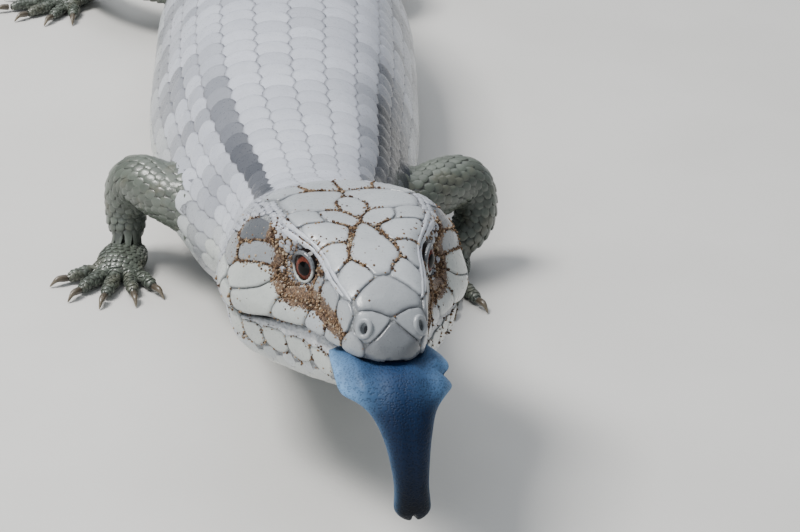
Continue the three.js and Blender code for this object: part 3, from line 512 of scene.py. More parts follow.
# ---- Finishes ----
class Finish:
    """A procedural material and short words for its nodes."""

    def __init__(self, name, roughness=0.4, coat=0.0, coat_roughness=0.1, specular=0.5):
        self.material = bpy.data.materials.new(name)
        self.material.use_nodes = True
        self.nodes = self.material.node_tree.nodes
        self.shader = self.nodes["Principled BSDF"]
        settings = {"Roughness": roughness, "Coat Weight": coat, "Coat Roughness": coat_roughness,
                    "Specular IOR Level": specular}
        for socket, value in settings.items():
            self.shader.inputs[socket].default_value = value
        self.place = self.add("ShaderNodeTexCoord").outputs["Object"]

    def add(self, kind, **settings):
        node = self.nodes.new(kind)
        for key, value in settings.items():
            setattr(node, key, value)
        return node

    def join(self, source, socket):
        if isinstance(source, (int, float)):
            socket.default_value = source
        elif isinstance(source, (tuple, list, np.ndarray)):
            socket.default_value = (*source[:3], 1)
        else:
            self.material.node_tree.links.new(source, socket)

    def read(self, key):
        return self.add("ShaderNodeAttribute", attribute_name=key).outputs["Fac"]

    def noise(self, size, detail=3.0, roughness=0.5, source=None):
        node = self.add("ShaderNodeTexNoise")
        self.join(source or self.place, node.inputs["Vector"])
        node.inputs["Scale"].default_value = 1 / (size * MM)
        node.inputs["Detail"].default_value = detail
        node.inputs["Roughness"].default_value = roughness
        return node.outputs["Fac"]

    def cells(self, size, feature="F1", smooth=None):
        node = self.add("ShaderNodeTexVoronoi", feature=feature)
        self.join(self.place, node.inputs["Vector"])
        node.inputs["Scale"].default_value = 1 / (size * MM)
        if smooth is not None:
            node.inputs["Smoothness"].default_value = smooth
        return node.outputs["Distance"]

    def between(self, value, low, high, to_low=0.0, to_high=1.0):
        node = self.add("ShaderNodeMapRange", interpolation_type="SMOOTHSTEP")
        self.join(value, node.inputs["Value"])
        ends = {"From Min": low, "From Max": high, "To Min": to_low, "To Max": to_high}
        for socket, number in ends.items():
            node.inputs[socket].default_value = number
        return node.outputs["Result"]

    def sum(self, kind, a, b):
        node = self.add("ShaderNodeMath", operation=kind, use_clamp=kind != "SUBTRACT")
        self.join(a, node.inputs[0])
        self.join(b, node.inputs[1])
        return node.outputs[0]

    def mix(self, amount, a, b, blend="MIX"):
        node = self.add("ShaderNodeMix", data_type="RGBA", blend_type=blend)
        self.join(amount, node.inputs["Factor"])
        self.join(a, node.inputs[6])
        self.join(b, node.inputs[7])
        return node.outputs[2]

    def bump(self, *layers):
        """Bumps as (height, millimetres) pairs, one over the other."""
        normal = None
        for height, depth in layers:
            node = self.add("ShaderNodeBump")
            node.inputs["Strength"].default_value = 1.0
            node.inputs["Distance"].default_value = depth * MM
            self.join(height, node.inputs["Height"])
            if normal is not None:
                self.join(normal, node.inputs["Normal"])
            normal = node.outputs["Normal"]
        self.join(normal, self.shader.inputs["Normal"])

    def done(self, colour, roughness=None):
        self.join(colour, self.shader.inputs["Base Color"])
        if roughness is not None:
            self.join(roughness, self.shader.inputs["Roughness"])
        return self.material


def tint(r, g, b):
    """A screen colour, 0 to 255, as the light that it stands for."""
    shares = (r / 255, g / 255, b / 255)
    return tuple(c / 12.92 if c <= 0.04045 else ((c + 0.055) / 1.055) ** 2.4 for c in shares)


def toned(colour, share):
    """A colour, darker or lighter by a share."""
    return tuple(np.array(colour) * share)


def dusty(work, base):
    """A film of fine brown sand where the attribute Dirt asks for it."""
    film = work.mix(work.between(work.noise(0.25, 2), 0.4, 0.62), tint(58, 43, 32), tint(118, 92, 68))
    half = work.sum("MULTIPLY", work.read("Dirt"), 0.5)
    return work.mix(work.between(work.sum("ADD", half, work.noise(0.9, 4, 0.75)), 0.78, 0.84), base, film)


def scale_finish(name, colours, head=False):
    """Glossy scales: pale grey with a lilac cast, darker in the seams, marked with dark and cream."""
    work = Finish(name, roughness=0.36, coat=0.3 if head else 0.2, coat_roughness=0.18)
    ground = np.array(colours.shields if head else colours.back)
    base = work.mix(work.read("Tone"), tuple(ground), tuple(ground * 0.86))
    base = work.mix(work.sum("MULTIPLY", work.read("Cream"), 0.8), base, tuple(colours.flank))
    cloud = work.between(work.noise(2.6, 4, 0.6), 0.35, 0.75)
    base = work.mix(work.sum("MULTIPLY", cloud, 0.3), base, tuple(ground * 0.68))
    streaks = work.between(work.noise(0.7, 3, 0.6), 0.45, 0.75)
    base = work.mix(work.sum("MULTIPLY", streaks, 0.16), base, tuple(ground * 0.6))
    # The Dark mix holds dark markings, and painted shade on the front of the snout, the animal's left neck
    # and flank, and the lids.
    base = work.mix(work.read("Dark"), base, tuple(colours.dark))
    # The seams between scales are drawn darker, unevenly.
    seam = work.between(work.read("Edge"), 0.8 if head else 0.4, 1.0 if head else 0.86)
    seam_darkening = work.sum("MULTIPLY", seam, work.between(work.noise(0.8, 3), 0.3, 0.7, 0.55, 1.0))
    base = work.mix(work.sum("MULTIPLY", seam_darkening, 0.5 if head else 0.85), base, tuple(colours.seam))
    base = dusty(work, base)
    rough = work.between(work.noise(0.7, 3), 0.3, 0.8, 0.26, 0.48)
    rough = work.sum("ADD", rough, work.sum("MULTIPLY", work.read("Dirt"), 0.4))
    work.bump((work.noise(1.5, 4, 0.62), 0.1), (work.noise(0.16, 2), 0.01))
    return work.done(base, rough)


def skin_finish(colours):
    """The soft skin between and under the scales, and the lining of the mouth."""
    work = Finish("soft_skin", roughness=0.55, coat=0.1, coat_roughness=0.3)
    base = work.mix(work.read("Cream"), toned(colours.back, 0.42), toned(colours.flank, 0.45))
    # The Dark mix holds the markings, with painted shade on the animal's left neck and flank.
    base = work.mix(work.read("Dark"), base, toned(colours.dark, 0.6))
    base = work.mix(work.read("Limb"), base, toned(colours.limb, 0.5))
    base = work.mix(work.read("Face"), base, toned(colours.shields, 0.72))
    base = work.mix(work.read("HeadSide"), base, tint(70, 62, 56))
    grain = work.cells(0.55)
    base = work.mix(work.between(grain, 0.2, 0.6, 0.0, 0.5), base, tint(48, 44, 40))
    base = dusty(work, base)
    mouth = work.mix(work.between(work.noise(1.2, 4), 0.3, 0.7), tint(218, 219, 220), tint(192, 195, 199))
    base = work.mix(work.read("Mouth"), base, mouth)
    # Painted shade: near black far inside the mouth and in the pits of the nostrils and the ears.
    base = work.mix(work.read("DeepShade"), base, tint(34, 36, 44))
    work.bump((grain, 0.16), (work.noise(0.4, 3), 0.05))
    return work.done(base)


def limb_finish(colours):
    """Small, shining, grey-green scales of the legs and feet."""
    work = Finish("limb_scales", roughness=0.4, coat=0.3, coat_roughness=0.2)
    base = work.mix(work.read("Tone"), tuple(colours.limb), toned(colours.limb, 0.62))
    base = work.mix(work.sum("MULTIPLY", work.read("Cream"), 0.8), base, toned(colours.flank, 0.8))
    spots = work.between(work.noise(5, 3), 0.52, 0.66)
    base = work.mix(work.sum("MULTIPLY", spots, 0.45), base, tint(96, 94, 80))
    seam = work.between(work.read("Edge"), 0.55, 1.0)
    base = work.mix(work.sum("MULTIPLY", seam, 0.7), base, tint(34, 35, 33))
    work.bump((work.noise(0.7, 3), 0.06),)
    return work.done(base, work.between(work.noise(0.6, 3), 0.3, 0.8, 0.28, 0.5))


def eye_finish(colours):
    """A wet eye: round pupil, red-brown iris with fine spokes, dark rim."""
    work = Finish("wet_eye", roughness=0.6, coat=0.6, coat_roughness=0.03, specular=0.0)
    work.shader.inputs["Coat IOR"].default_value = 1.33
    polar = work.read("Polar")
    spokes = work.noise(0.35, 4, 0.6)
    iris = work.mix(work.between(spokes, 0.3, 0.7), toned(colours.iris, 0.4), toned(colours.iris, 1.15))
    iris = work.mix(work.between(polar, 0.46, 0.58), iris, tint(20, 15, 13))
    pupil = work.between(polar, 0.3, 0.33)
    base = work.mix(pupil, tint(3, 3, 3), iris)
    return work.done(base)


def tongue_finish(colours):
    """Moist blue tongue, pebbled with small papillae, paler at its flap and darkest at its tip, with painted
    light on its right side and painted shade in the pits.
    """
    work = Finish("moist_tongue", roughness=0.5, coat=0.03, coat_roughness=0.3, specular=0.16)
    along, pale = work.read("Along"), work.read("Pale")
    base = work.mix(work.between(along, 0.34, 0.62), tuple(colours.tongue), tuple(colours.tongue_middle))
    base = work.mix(work.between(along, 0.66, 0.98), base, tuple(colours.tongue_tip))
    # The Pale mix holds the pale rims and flap, and painted light on the animal's right side of the tongue,
    # towards the key lamp.
    base = work.mix(pale, base, tuple(colours.tongue_rim))
    patches = work.between(work.noise(4, 3), 0.35, 0.7)
    base = work.mix(work.sum("MULTIPLY", patches, 0.25), base, toned(colours.tongue_middle, 0.9))
    papillae = work.cells(0.42)
    # The pits of the papillae, low in the bump below, are darkened as painted shade.
    pits = work.between(papillae, 0.2, 0.55, 0.34, 0.0)
    base = work.mix(pits, base, toned(colours.tongue_tip, 1.2))
    work.bump((work.noise(3.5, 3), 0.2), (work.between(papillae, 0.2, 0.6), 0.06))
    return work.done(base, work.between(work.noise(0.5, 2), 0.3, 0.7, 0.44, 0.58))


def claw_finish(colours):
    """Dark horn, paler and a little rubbed towards its point."""
    work = Finish("claw_horn", roughness=0.32, coat=0.3, coat_roughness=0.2)
    base = work.mix(work.read("Along"), tuple(colours.horn), tint(128, 118, 100))
    streaks = work.noise(0.5, 4, 0.6)
    base = work.mix(work.between(streaks, 0.35, 0.7, 0.0, 0.55), base, toned(colours.horn, 0.45))
    work.bump((streaks, 0.05),)
    return work.done(base)


def sand_finish():
    """Dry grains of red-brown and pale sand, each of its own tone."""
    work = Finish("dry_sand", roughness=0.75, specular=0.4)
    base = work.mix(work.between(work.read("Tone"), 0.25, 0.7), tint(70, 50, 36), tint(142, 114, 84))
    base = work.mix(work.between(work.read("Tone"), 0.72, 0.95), base, tint(186, 170, 146))
    base = work.mix(work.between(work.noise(0.12, 2), 0.35, 0.65, 0.0, 0.5), base, tint(70, 50, 36))
    work.bump((work.noise(0.08, 2), 0.03),)
    return work.done(base)


def floor_finish():
    """A plain pale floor with the faintest tooth."""
    work = Finish("pale_floor", roughness=0.7, specular=0.3)
    base = work.mix(work.between(work.noise(60, 3), 0.3, 0.7), tint(203, 202, 199), tint(209, 208, 205))
    work.bump((work.noise(1.2, 2), 0.04),)
    return work.done(base)


# ---- Sizes and colours a user would change ----
def colour_choice(name, description, default):
    return FloatVectorProperty(name=name, description=description, subtype="COLOR", size=3, min=0, max=1,
                               default=tint(*default))


class SkinkColours(bpy.types.PropertyGroup):
    back: colour_choice("Back", "Scales of the neck and the back", (194, 198, 209))
    shields: colour_choice("Shields", "Shields of the head", (172, 177, 181))
    flank: colour_choice("Flank", "Cream of the flanks and the belly", (184, 189, 180))
    # This colour also gives the painted shade of the snout shields, the animal's left neck and flank, and
    # the lids.
    dark: colour_choice("Markings", "Dark streaks and mottling", (30, 34, 43))
    seam: colour_choice("Seams", "Darkening in the seams between scales", (66, 66, 74))
    limb: colour_choice("Legs", "Scales of the legs and feet", (92, 99, 90))
    tongue: colour_choice("Tongue", "Flap of the tongue", (20, 48, 84))
    tongue_middle: colour_choice("Tongue middle", "Root of the hanging part of the tongue", (17, 35, 62))
    tongue_rim: colour_choice("Tongue rim", "Pale rims of the tongue", (104, 144, 186))
    tongue_tip: colour_choice("Tongue tip", "Hanging end of the tongue", (5, 9, 16))
    iris: colour_choice("Iris", "Iris of the eyes", (98, 50, 40))
    horn: colour_choice("Claws", "Horn of the claws", (74, 66, 56))


class SkinkSizes(bpy.types.PropertyGroup):
    shield_rise: FloatProperty(name="Shield rise", description="How far a head shield stands above the skin",
                               default=0.46 * MM, unit="LENGTH")
    scale_rise: FloatProperty(name="Scale rise", description="How far the free edge of a scale stands up",
                              default=0.44 * MM, unit="LENGTH")
    scale_overlap: FloatProperty(name="Scale overlap", default=1.62,
                                 description="Length of a scale against the step between rows")
    toe_scale: FloatProperty(name="Leg scale", description="Length of a scale of the legs", default=2.3 * MM,
                             unit="LENGTH")
    grains: IntProperty(name="Sand grains", description="Grains of sand in each of two layers", default=7000)


def colours():
    return bpy.context.scene.skink_colours


def sizes():
    return bpy.context.scene.skink_sizes


# ---- Skin ----
UPPER_Q = np.concatenate([np.linspace(0, 1, 15)[:-1], np.linspace(1, 2, 15)[:-1], np.linspace(2, 3, 17)])
LOWER_Q = np.linspace(3, 5, 25)[1:]
SNOUT_STATIONS = [0.03, 0.08, 0.16, 0.28, 0.45, 0.7, 1.0, 1.35, 1.75]
HEAD_STATIONS = np.concatenate([SNOUT_STATIONS, np.arange(2.2, 62, 0.45)])
BODY_STATIONS = np.concatenate([np.arange(62.5, 96, 1.2), np.arange(96, 444, 1.7),
                                np.linspace(444, 451.85, 8)])


def mirror_ring(x, z):
    """A whole ring from a half that runs from the crown to the midline below."""
    return np.concatenate([x, -x[..., -2:0:-1]], -1), np.concatenate([z, z[..., -2:0:-1]], -1)


def shrink(x, z, depth):
    """Draw a ring in by the depth of the coat."""
    reach = np.maximum(np.hypot(x, z - 2), 1e-6)
    share = np.clip(1 - depth / reach, 0.2, 1)
    return x * share, 2 + (z - 2) * share


def upper_rings():
    """Head above the mouth, running on into the whole neck, trunk and tail."""
    s = np.concatenate([HEAD_STATIONS, BODY_STATIONS])[:, None]
    x, z = section(s, UPPER_Q[None])
    lip_x, lip_z = x[:, -1:], z[:, -1:]
    small = np.minimum(1, np.abs(lip_x) / 4)
    inner = np.array([[0.3, -0.22], [0.75, -0.3], [1.2, 0.0], [1.6, 0.6], [2.1, 1.2]])
    roof_x = lip_x - inner[:, 0] * small
    roof_z = lip_z + inner[:, 1] * small
    fade = np.linspace(1, 0, len(LOWER_Q) - len(inner) + 1)[1:]
    in_x, in_z = roof_x[:, -1:] * fade, roof_z[:, -1:] + 2.2 * small * (1 - fade**2)
    roof_x, roof_z = np.concatenate([roof_x, in_x], 1), np.concatenate([roof_z, in_z], 1)
    full_x, full_z = section(s, LOWER_Q[None])
    close = ease(40, 46.5, s)
    low_x, low_z = roof_x * (1 - close) + full_x * close, roof_z * (1 - close) + full_z * close
    ring_x, ring_z = mirror_ring(np.concatenate([x, low_x], 1), np.concatenate([z, low_z], 1))
    depth = COAT * ease(0, 5, s) * np.minimum(1, keyed(BODY_X, s) / 6)
    ring_x, ring_z = shrink(ring_x, ring_z, depth)
    return place(np.broadcast_to(s, ring_x.shape), ring_x, ring_z)


def jaw_rings():
    """Lower jaw with its rounded rim, the soft inner lip and the floor of the mouth."""
    s = HEAD_STATIONS[HEAD_STATIONS < 50][:, None]
    q = np.linspace(3.12, 5, 30)[None]
    x, z = section(s, q)
    rim_x, rim_z = x[:, :1], z[:, :1]
    small = np.minimum(1, np.abs(rim_x) / 5)
    room = np.maximum(keyed(MOUTH_DROP, s) - 0.3, 0.15)
    lift = 0.35 * (1 - ease(10, 18, s)) + room * ease(10, 18, s)
    roll = np.array([[0.12, 0.35], [0.45, 0.72], [0.95, 0.95], [1.6, 1.0], [2.3, 0.8], [3.0, 0.2]])
    roll_x = rim_x - roll[:, 0] * small
    roll_z = rim_z + roll[:, 1] * lift
    fade = np.array([0.85, 0.6, 0.3, 0.0])
    in_x = roll_x[:, -1:] * fade
    in_z = roll_z[:, -1:] - 1.6 * small * (1 - fade**2)
    inner_x, inner_z = np.concatenate([roll_x, in_x], 1), np.concatenate([roll_z, in_z], 1)
    inner_z = inner_z + 5 * ease(41, 47, s)
    half_x = np.concatenate([inner_x[:, ::-1], x], 1)
    half_z = np.concatenate([inner_z[:, ::-1], z], 1)
    ring_x, ring_z = mirror_ring(half_x, half_z)
    ring_x, ring_z = shrink(ring_x, ring_z, COAT * ease(0, 5, s) + 0.9 * ease(44, 49.5, s))
    return place(np.broadcast_to(s, ring_x.shape), ring_x, ring_z)


def on_ground(points):
    """Nothing lies below the floor."""
    points = np.array(points)
    points[..., 2] = np.maximum(points[..., 2], 0.0)
    return points


def tube(joints, radii, facing, sides, count, flat=1.0, inset=0.0):
    """Rings round a smooth line of joints."""
    share = np.linspace(0, 1, count)
    share[1] = share[1] * 0.3
    share[-2] = 1 - (1 - share[-2]) * 0.3
    centre, along = path(joints, at=share)
    across = unit(np.cross(along, facing))
    over = np.cross(across, along)
    radius = keyed(radii, share) - inset
    rounding = np.sqrt(np.clip(1 - np.clip((share - 0.9) / 0.1, 0, 0.97) ** 2, 0, 1))
    radius = (radius * (0.35 + 0.65 * rounding))[:, None, None]
    angle = (np.arange(sides) / sides * 2 * math.pi)[None, :, None]
    return on_ground(centre[:, None] + across[:, None] * np.cos(angle) * radius
                     + over[:, None] * np.sin(angle) * radius * flat)


UP = np.array([0, 0, 1.0])
FORWARD = np.array([0, -1.0, 0])


def limb_lines(name):
    """Joints of one leg, its palm and its five toes."""
    kind, side = name.split("_")
    sign = 1 if side == "left" else -1
    joints = []
    for s, out, height in LIMBS[name]:
        point = place(s, out * sign, 0.0)
        joints.append([point[0], point[1], height])
    joints = np.array(joints)
    swing = math.radians(float(keyed(SWING, LIMBS[name][-1][0])))

    def turn(degrees):
        angle = swing - sign * math.radians(degrees)
        return np.array([-math.sin(angle), -math.cos(angle), 0])

    heading = turn(HEADING[name])
    root = joints[-1] * [1, 1, 0] + [0, 0, 3.2]
    knuckle = root + heading * PALM[kind]
    middle = root + (knuckle - root) * 0.4
    palm = np.array([root - heading * 2, middle, [knuckle[0], knuckle[1], 2.2]])
    across = -sign * np.cross(heading, UP)
    toes = []
    for i, (fan, reach) in enumerate(zip(TOE_FAN, TOES[kind])):
        aim = turn(HEADING[name] + fan)
        base = knuckle + across * (i - 2) * 1.9 - heading * 3.2
        tip = base + aim * (reach + 2.4)
        bend = base + (tip - base) * 0.55
        base[2], tip[2], bend[2] = 1.9, 1.15, 1.6
        toes.append((np.array([base, bend, tip]), aim))
    return joints, palm, toes


def toe_radii():
    return [[0, TOE_RADIUS], [0.3, TOE_RADIUS * 0.9], [0.42, TOE_RADIUS * 1.02], [0.6, TOE_RADIUS * 0.84],
            [0.75, TOE_RADIUS * 0.95], [1, TOE_RADIUS * 0.6]]


def limb_parts(name):
    """Rings of one leg, its palm and its toes."""
    joints, palm, toes = limb_lines(name)
    radii = LIMB_RADII[name.split("_")[0]]
    parts = [tube(joints, radii, FORWARD, 40, 64, inset=COAT),
             tube(palm, PALM_RADII, UP, 36, 30, PALM_FLATNESS, COAT * 0.5)]
    return parts + [tube(line, toe_radii(), UP, 18, 26, inset=COAT * 0.4) for line, _ in toes]


def ellipsoid(name, centre, half, side=1):
    """A smooth pit cutter in the head's frame."""
    select_any()
    bpy.ops.mesh.primitive_uv_sphere_add(segments=32, ring_count=20, radius=1, location=(0, 0, 0))
    made = bpy.context.object
    made.name = name
    ball = np.array([v.co for v in made.data.vertices])
    set_points(made, from_head(ball * half + np.array(centre) * [side, 1, 1]))
    return made


def build_skin():
    """One skin of head, jaw, body and legs, with the pits of the nostrils and the ears."""
    skin = new_object("skin", *skin_over(upper_rings()))
    jaw = new_object("jaw_form", *skin_over(jaw_rings()))
    pieces = [jaw]
    for name in LIMBS:
        pieces += [new_object("limb_form", *skin_over(rings)) for rings in limb_parts(name)]
    for piece in [skin, *pieces]:
        face_outwards(piece)
    combine(skin, pieces)
    cutters = []
    for side in (-1, 1):
        cutters += [ellipsoid("pit", NOSTRIL["centre"], NOSTRIL["half"], side),
                    ellipsoid("pit", EAR["centre"], EAR["half"], side)]
    combine(skin, cutters, "DIFFERENCE")
    soften_joins(skin)
    mark_skin(skin)
    return skin


def soften_joins(skin):
    """Round the creases where legs, toes and jaw meet the body."""
    mesh = bmesh.new()
    mesh.from_mesh(skin.data)
    mesh.normal_update()
    limit = math.radians(24)
    sharp = [edge for edge in mesh.edges if len(edge.link_faces) == 2 and edge.calc_face_angle(0) > limit]
    marks = np.array([edge.verts[0].co for edge in sharp]) / MM - SHIFT
    mesh.free()
    head = to_head(marks)
    marks = marks[(head[:, 1] > 43.5) & ~((abs(head[:, 1] - 54.3) < 4) & (head[:, 2] > -4))]
    tree = nearest_of(marks)
    points = points_of(skin)
    near = np.array([tree.find(p)[2] for p in points])
    reach = np.where(points[:, 2] < 9, 1.6, 3.4)
    weights = 0.6 * np.exp(-((near / reach) ** 2))
    soften(skin, weights, 26)
    head = to_head(points)
    lips = 0.45 * (1 - ease(43, 52, head[:, 1])) * np.exp(-((near / 2.5) ** 2))
    soften(skin, lips, 4)
    points = points_of(skin)
    set_points(skin, on_ground(points))


def mark_skin(skin):
    """Write the pigments and the zones of the skin to its points; the dark inside the mouth and in the pits
    of the nostrils and the ears is painted shade.
    """
    points = points_of(skin)
    s_grid, q_grid = np.meshgrid(np.concatenate([HEAD_STATIONS[::2], BODY_STATIONS]), np.arange(0, 10, 0.12))
    samples = body_point(s_grid, q_grid).reshape(-1, 3)
    dark, cream = markings(s_grid.ravel(), q_grid.ravel())
    tree = nearest_of(samples)
    nearest = [tree.find(p) for p in points]
    index = np.array([n[1] for n in nearest])
    away = np.array([n[2] for n in nearest])
    head = to_head(points)
    on_head = head[:, 1] < 47
    limb = ease(0.8, 3, away) * ~on_head
    inside = ease(0.9, 1.6, away) * on_head * (head[:, 2] < 3)
    rim = keyed(LIP_Z, head[:, 1]) - keyed(MOUTH_DROP, head[:, 1])
    lip = (1 - ease(rim - 0.1, rim + 0.3, head[:, 2])) * ease(rim - 3, rim - 2, head[:, 2])
    inside = np.maximum(inside, bare_lip(head[:, 1]) * lip * on_head)
    # Painted shade far inside the mouth and in the pits of the nostrils and the ears.
    deep_shade = ease(2.2, 4.5, away) * on_head * (head[:, 2] < 4)
    for side in (-1, 1):
        for pit in (NOSTRIL, EAR):
            gap = np.linalg.norm((head - np.array(pit["centre"]) * [side, 1, 1]) / pit["half"], axis=1)
            deep_shade = np.maximum(deep_shade, 1 - ease(0.92, 1.12, gap))
    face = (1 - ease(44, 52, head[:, 1])) * (1 - inside)
    temple = ease(25, 28, head[:, 1]) * (1 - ease(43, 48, head[:, 1])) * ease(5, 7, head[:, 2])
    temple = temple * (1 - ease(15.5, 17.5, head[:, 2])) * ease(11, 13, np.abs(head[:, 0]))
    head_side = np.maximum(temple, 1 - ease(4.4, 6, from_eye(head))) * face
    write_marks(skin.data, {"Dark": dark[index] * (1 - limb), "Cream": cream[index] * (1 - limb),
                            "Limb": limb, "Mouth": inside, "DeepShade": deep_shade, "Face": face,
                            "HeadSide": head_side, "Dirt": in_track(head) * face})


# ---- Head shields ----
FAR = 80.0  # how far out the lines of sight to the head start
SIGHT = {  # where the line of sight to each mark starts, and which way it runs
    "top": (lambda marks, side: np.stack([side * marks[:, 1], marks[:, 0], np.full(len(marks), FAR)], -1),
            lambda side: (0, 0, -1)),
    "side": (lambda marks, side: np.stack([np.full(len(marks), side * FAR), marks[:, 0], marks[:, 1]], -1),
             lambda side: (-side, 0, 0)),
    "front": (lambda marks, side: np.stack([side * marks[:, 0], np.full(len(marks), -FAR), marks[:, 1]], -1),
              lambda side: (0, 1, 0)),
}


def both_sides(view, half):
    """A whole outline from the half of it on one side of the midline."""
    across = 0 if view == "front" else 1
    paired = [mark for mark in half if abs(mark[across]) > 0.05]
    flipped = [[-v if k == across else v for k, v in enumerate(mark)] for mark in paired]
    return view, half + flipped[::-1]


def rounded_outline(marks, count):
    """A closed outline with soft corners."""
    marks = np.array(marks, float)
    for share in (0.09, 0.22):
        after = np.roll(marks, -1, 0)
        pair = [marks * (1 - share) + after * share, marks * share + after * (1 - share)]
        marks = np.stack(pair, 1).reshape(-1, 2)
    loop = np.vstack([marks, marks[:1]])
    length = np.concatenate([[0], np.cumsum(np.linalg.norm(np.diff(loop, axis=0), axis=1))])
    even = np.arange(count) / count * length[-1]
    return np.stack([np.interp(even, length, loop[:, k]) for k in (0, 1)], -1)


SHIELD_PROFILE = [(1.0, -0.9), (1.0, 0.2), (0.987, 0.55), (0.96, 0.8), (0.91, 0.93), (0.78, 0.99),
                  (0.55, 1.02), (0.28, 1.04), (0.0, 1.05)]  # share of the outline, height
SHIELD_SIDES = 56
SHIELD_GROWTH = 0.62  # how far an outline may widen
SHIELD_SEAM = 0.1  # half the seam between two shields
NO_NEIGHBOUR = 4.0  # gap taken where no other shield is near


def cast(tree, view, marks, side):
    """Marks of a view set on the head: the points and the ways out of the skin there."""
    start, aim = SIGHT[view]
    aim = Vector(from_head(np.array(aim(side), float)) - from_head(np.zeros(3)))
    points, normals = [], []
    for mark, origin in zip(marks, from_head(start(marks, side))):
        place_, normal = tree.ray_cast(Vector(origin), aim)[:2]
        head = None if place_ is None else to_head(np.array(place_))
        if view == "front" and (head is None or head[1] > 7):
            place_, normal = tree.find_nearest(Vector(from_head([side * mark[0], 0.6, mark[1]])))[:2]
        if view == "side" and (head is None or abs(head[0]) < 3):
            beside = from_head([side * float(keyed(LIP_X, mark[0])), *mark])
            place_, normal = tree.find_nearest(Vector(beside))[:2]
        points.append(place_)
        normals.append(normal if normal.dot(aim) < 0 else -normal)
    return np.array(points), np.array(normals)


def outward_of(marks):
    """The way out of a closed outline at each of its marks."""
    tangent = np.roll(marks, -1, 0) - np.roll(marks, 1, 0)
    area = np.sum(marks[:, 0] * np.roll(marks[:, 1], -1) - np.roll(marks[:, 0], -1) * marks[:, 1])
    return unit(np.stack([tangent[:, 1], -tangent[:, 0]], -1)) * np.sign(area)


def grow_together(tree, plans):
    """Widen every shield until only a thin seam parts it from its neighbours."""
    edges = [cast(tree, plan["view"], plan["marks"], plan["side"])[0] for plan in plans]
    owner = np.repeat(np.arange(len(plans)), [len(edge) for edge in edges])
    near = nearest_of(np.vstack(edges))
    for k, (plan, edge) in enumerate(zip(plans, edges)):
        gaps = []
        for point in edge:
            other = [found[2] for found in near.find_n(point, 90) if owner[found[1]] != k]
            gaps.append(min(other) if other else NO_NEIGHBOUR)
        grow = np.clip(np.array(gaps) * 0.5 - SHIELD_SEAM, -0.15, SHIELD_GROWTH)
        for _ in range(3):
            grow = (np.roll(grow, 1) + 2 * grow + np.roll(grow, -1)) / 4
        plan["marks"] = plan["marks"] + outward_of(plan["marks"]) * grow[:, None]


def shield(tree, plan):
    """One shield: a low cushion with a rounded rim that follows the head under it."""
    marks, view, side = plan["marks"], plan["view"], plan["side"]
    centre, n = marks.mean(0), len(marks)
    rings, edge, outer = [], [], None
    for share, lift in SHIELD_PROFILE:
        at = centre + (marks - centre) * share if share else centre[None]
        points, normals = cast(tree, view, at, side)
        outer = unit(normals.mean(0)) if outer is None else outer
        rings.append(points + unit(normals + 1.2 * outer) * lift * plan["rise"])
        edge.append(np.full(len(at), share))
    verts = np.vstack(rings)
    k = np.arange(n)
    faces = [tuple(range(n))[::-1]]
    for first in range(0, (len(SHIELD_PROFILE) - 2) * n, n):
        after = first + (k + 1) % n
        faces += [tuple(f) for f in np.stack([first + k, after, after + n, first + n + k], -1)]
    top = (len(SHIELD_PROFILE) - 2) * n
    faces += [(top + i, top + (i + 1) % n, len(verts) - 1) for i in range(n)]
    return verts, faces, np.concatenate(edge)


def join_pieces(name, pieces):
    """One object of many small closed pieces, each (points, faces, attributes)."""
    verts, faces, start = [], [], 0
    keys = pieces[0][2].keys()
    values = {key: [] for key in keys}
    for points, own, attributes in pieces:
        verts.append(points)
        faces += [tuple(int(i) + start for i in f) for f in own]
        for key in keys:
            values[key].append(np.broadcast_to(attributes[key], len(points)))
        start += len(points)
    return new_object(name, np.vstack(verts), faces, {k: np.concatenate(v) for k, v in values.items()})


# Dark share of each shield. The values for the rostral, frontonasal, nasal and first supralabial are painted
# shade on the front of the snout; the others are dark markings.
SHIELD_DARK_AND_SHADE = {"temporal_1": 0.8, "temporal_2": 0.36, "temporal_3": 0.5, "rostral": 0.62, "frontonasal": 0.3,
               "loreal_1": 0.2, "loreal_2": 0.25, "preocular": 0.4, "nasal": 0.26, "supralabial_1": 0.2}
SHIELD_CREAM = {"cheek": 0.8, "supralabial_4": 0.6, "supralabial_5": 0.8, "supralabial_6": 0.8,
                "temporal_4": 0.7, "infralabial": 0.8}
INNER_LIP = 1.35  # height of the soft lip left bare above the shields of the lower jaw


def bare_lip(s):
    """Where along the jaw the soft lip shows, 0 to 1."""
    return ease(9, 14, s) * (1 - ease(35, 42, s))


def shield_plans(rise):
    """Outline, view, side and rise of every shield."""
    plans = []

    def add(name, view, outline, side, own_rise=rise):
        plans.append({"name": name, "view": view, "side": side, "rise": own_rise,
                      "marks": rounded_outline(outline, SHIELD_SIDES)})

    for name, (view, half) in MIDLINE_SHIELDS.items():
        add(name, *both_sides(view, half), 1)
    top = lambda s: float(keyed(LIP_Z, s) - keyed(MOUTH_DROP, s) - 0.4 - INNER_LIP * bare_lip(s))
    for side in (-1, 1):
        for name, (view, outline) in PAIRED_SHIELDS.items():
            add(name, view, outline, side)
        for first, last in zip(INFRALABIALS, INFRALABIALS[1:]):
            middle = (first + last) / 2
            outline = [[first, top(first)], [middle, top(middle)], [last, top(last)],
                       [last - 0.5, top(last) - 2.4], [middle - 0.6, top(middle) - 3.4],
                       [first - 0.5, top(first) - 2.4]]
            add("infralabial", "side", outline, side, rise * 0.8)
    return plans


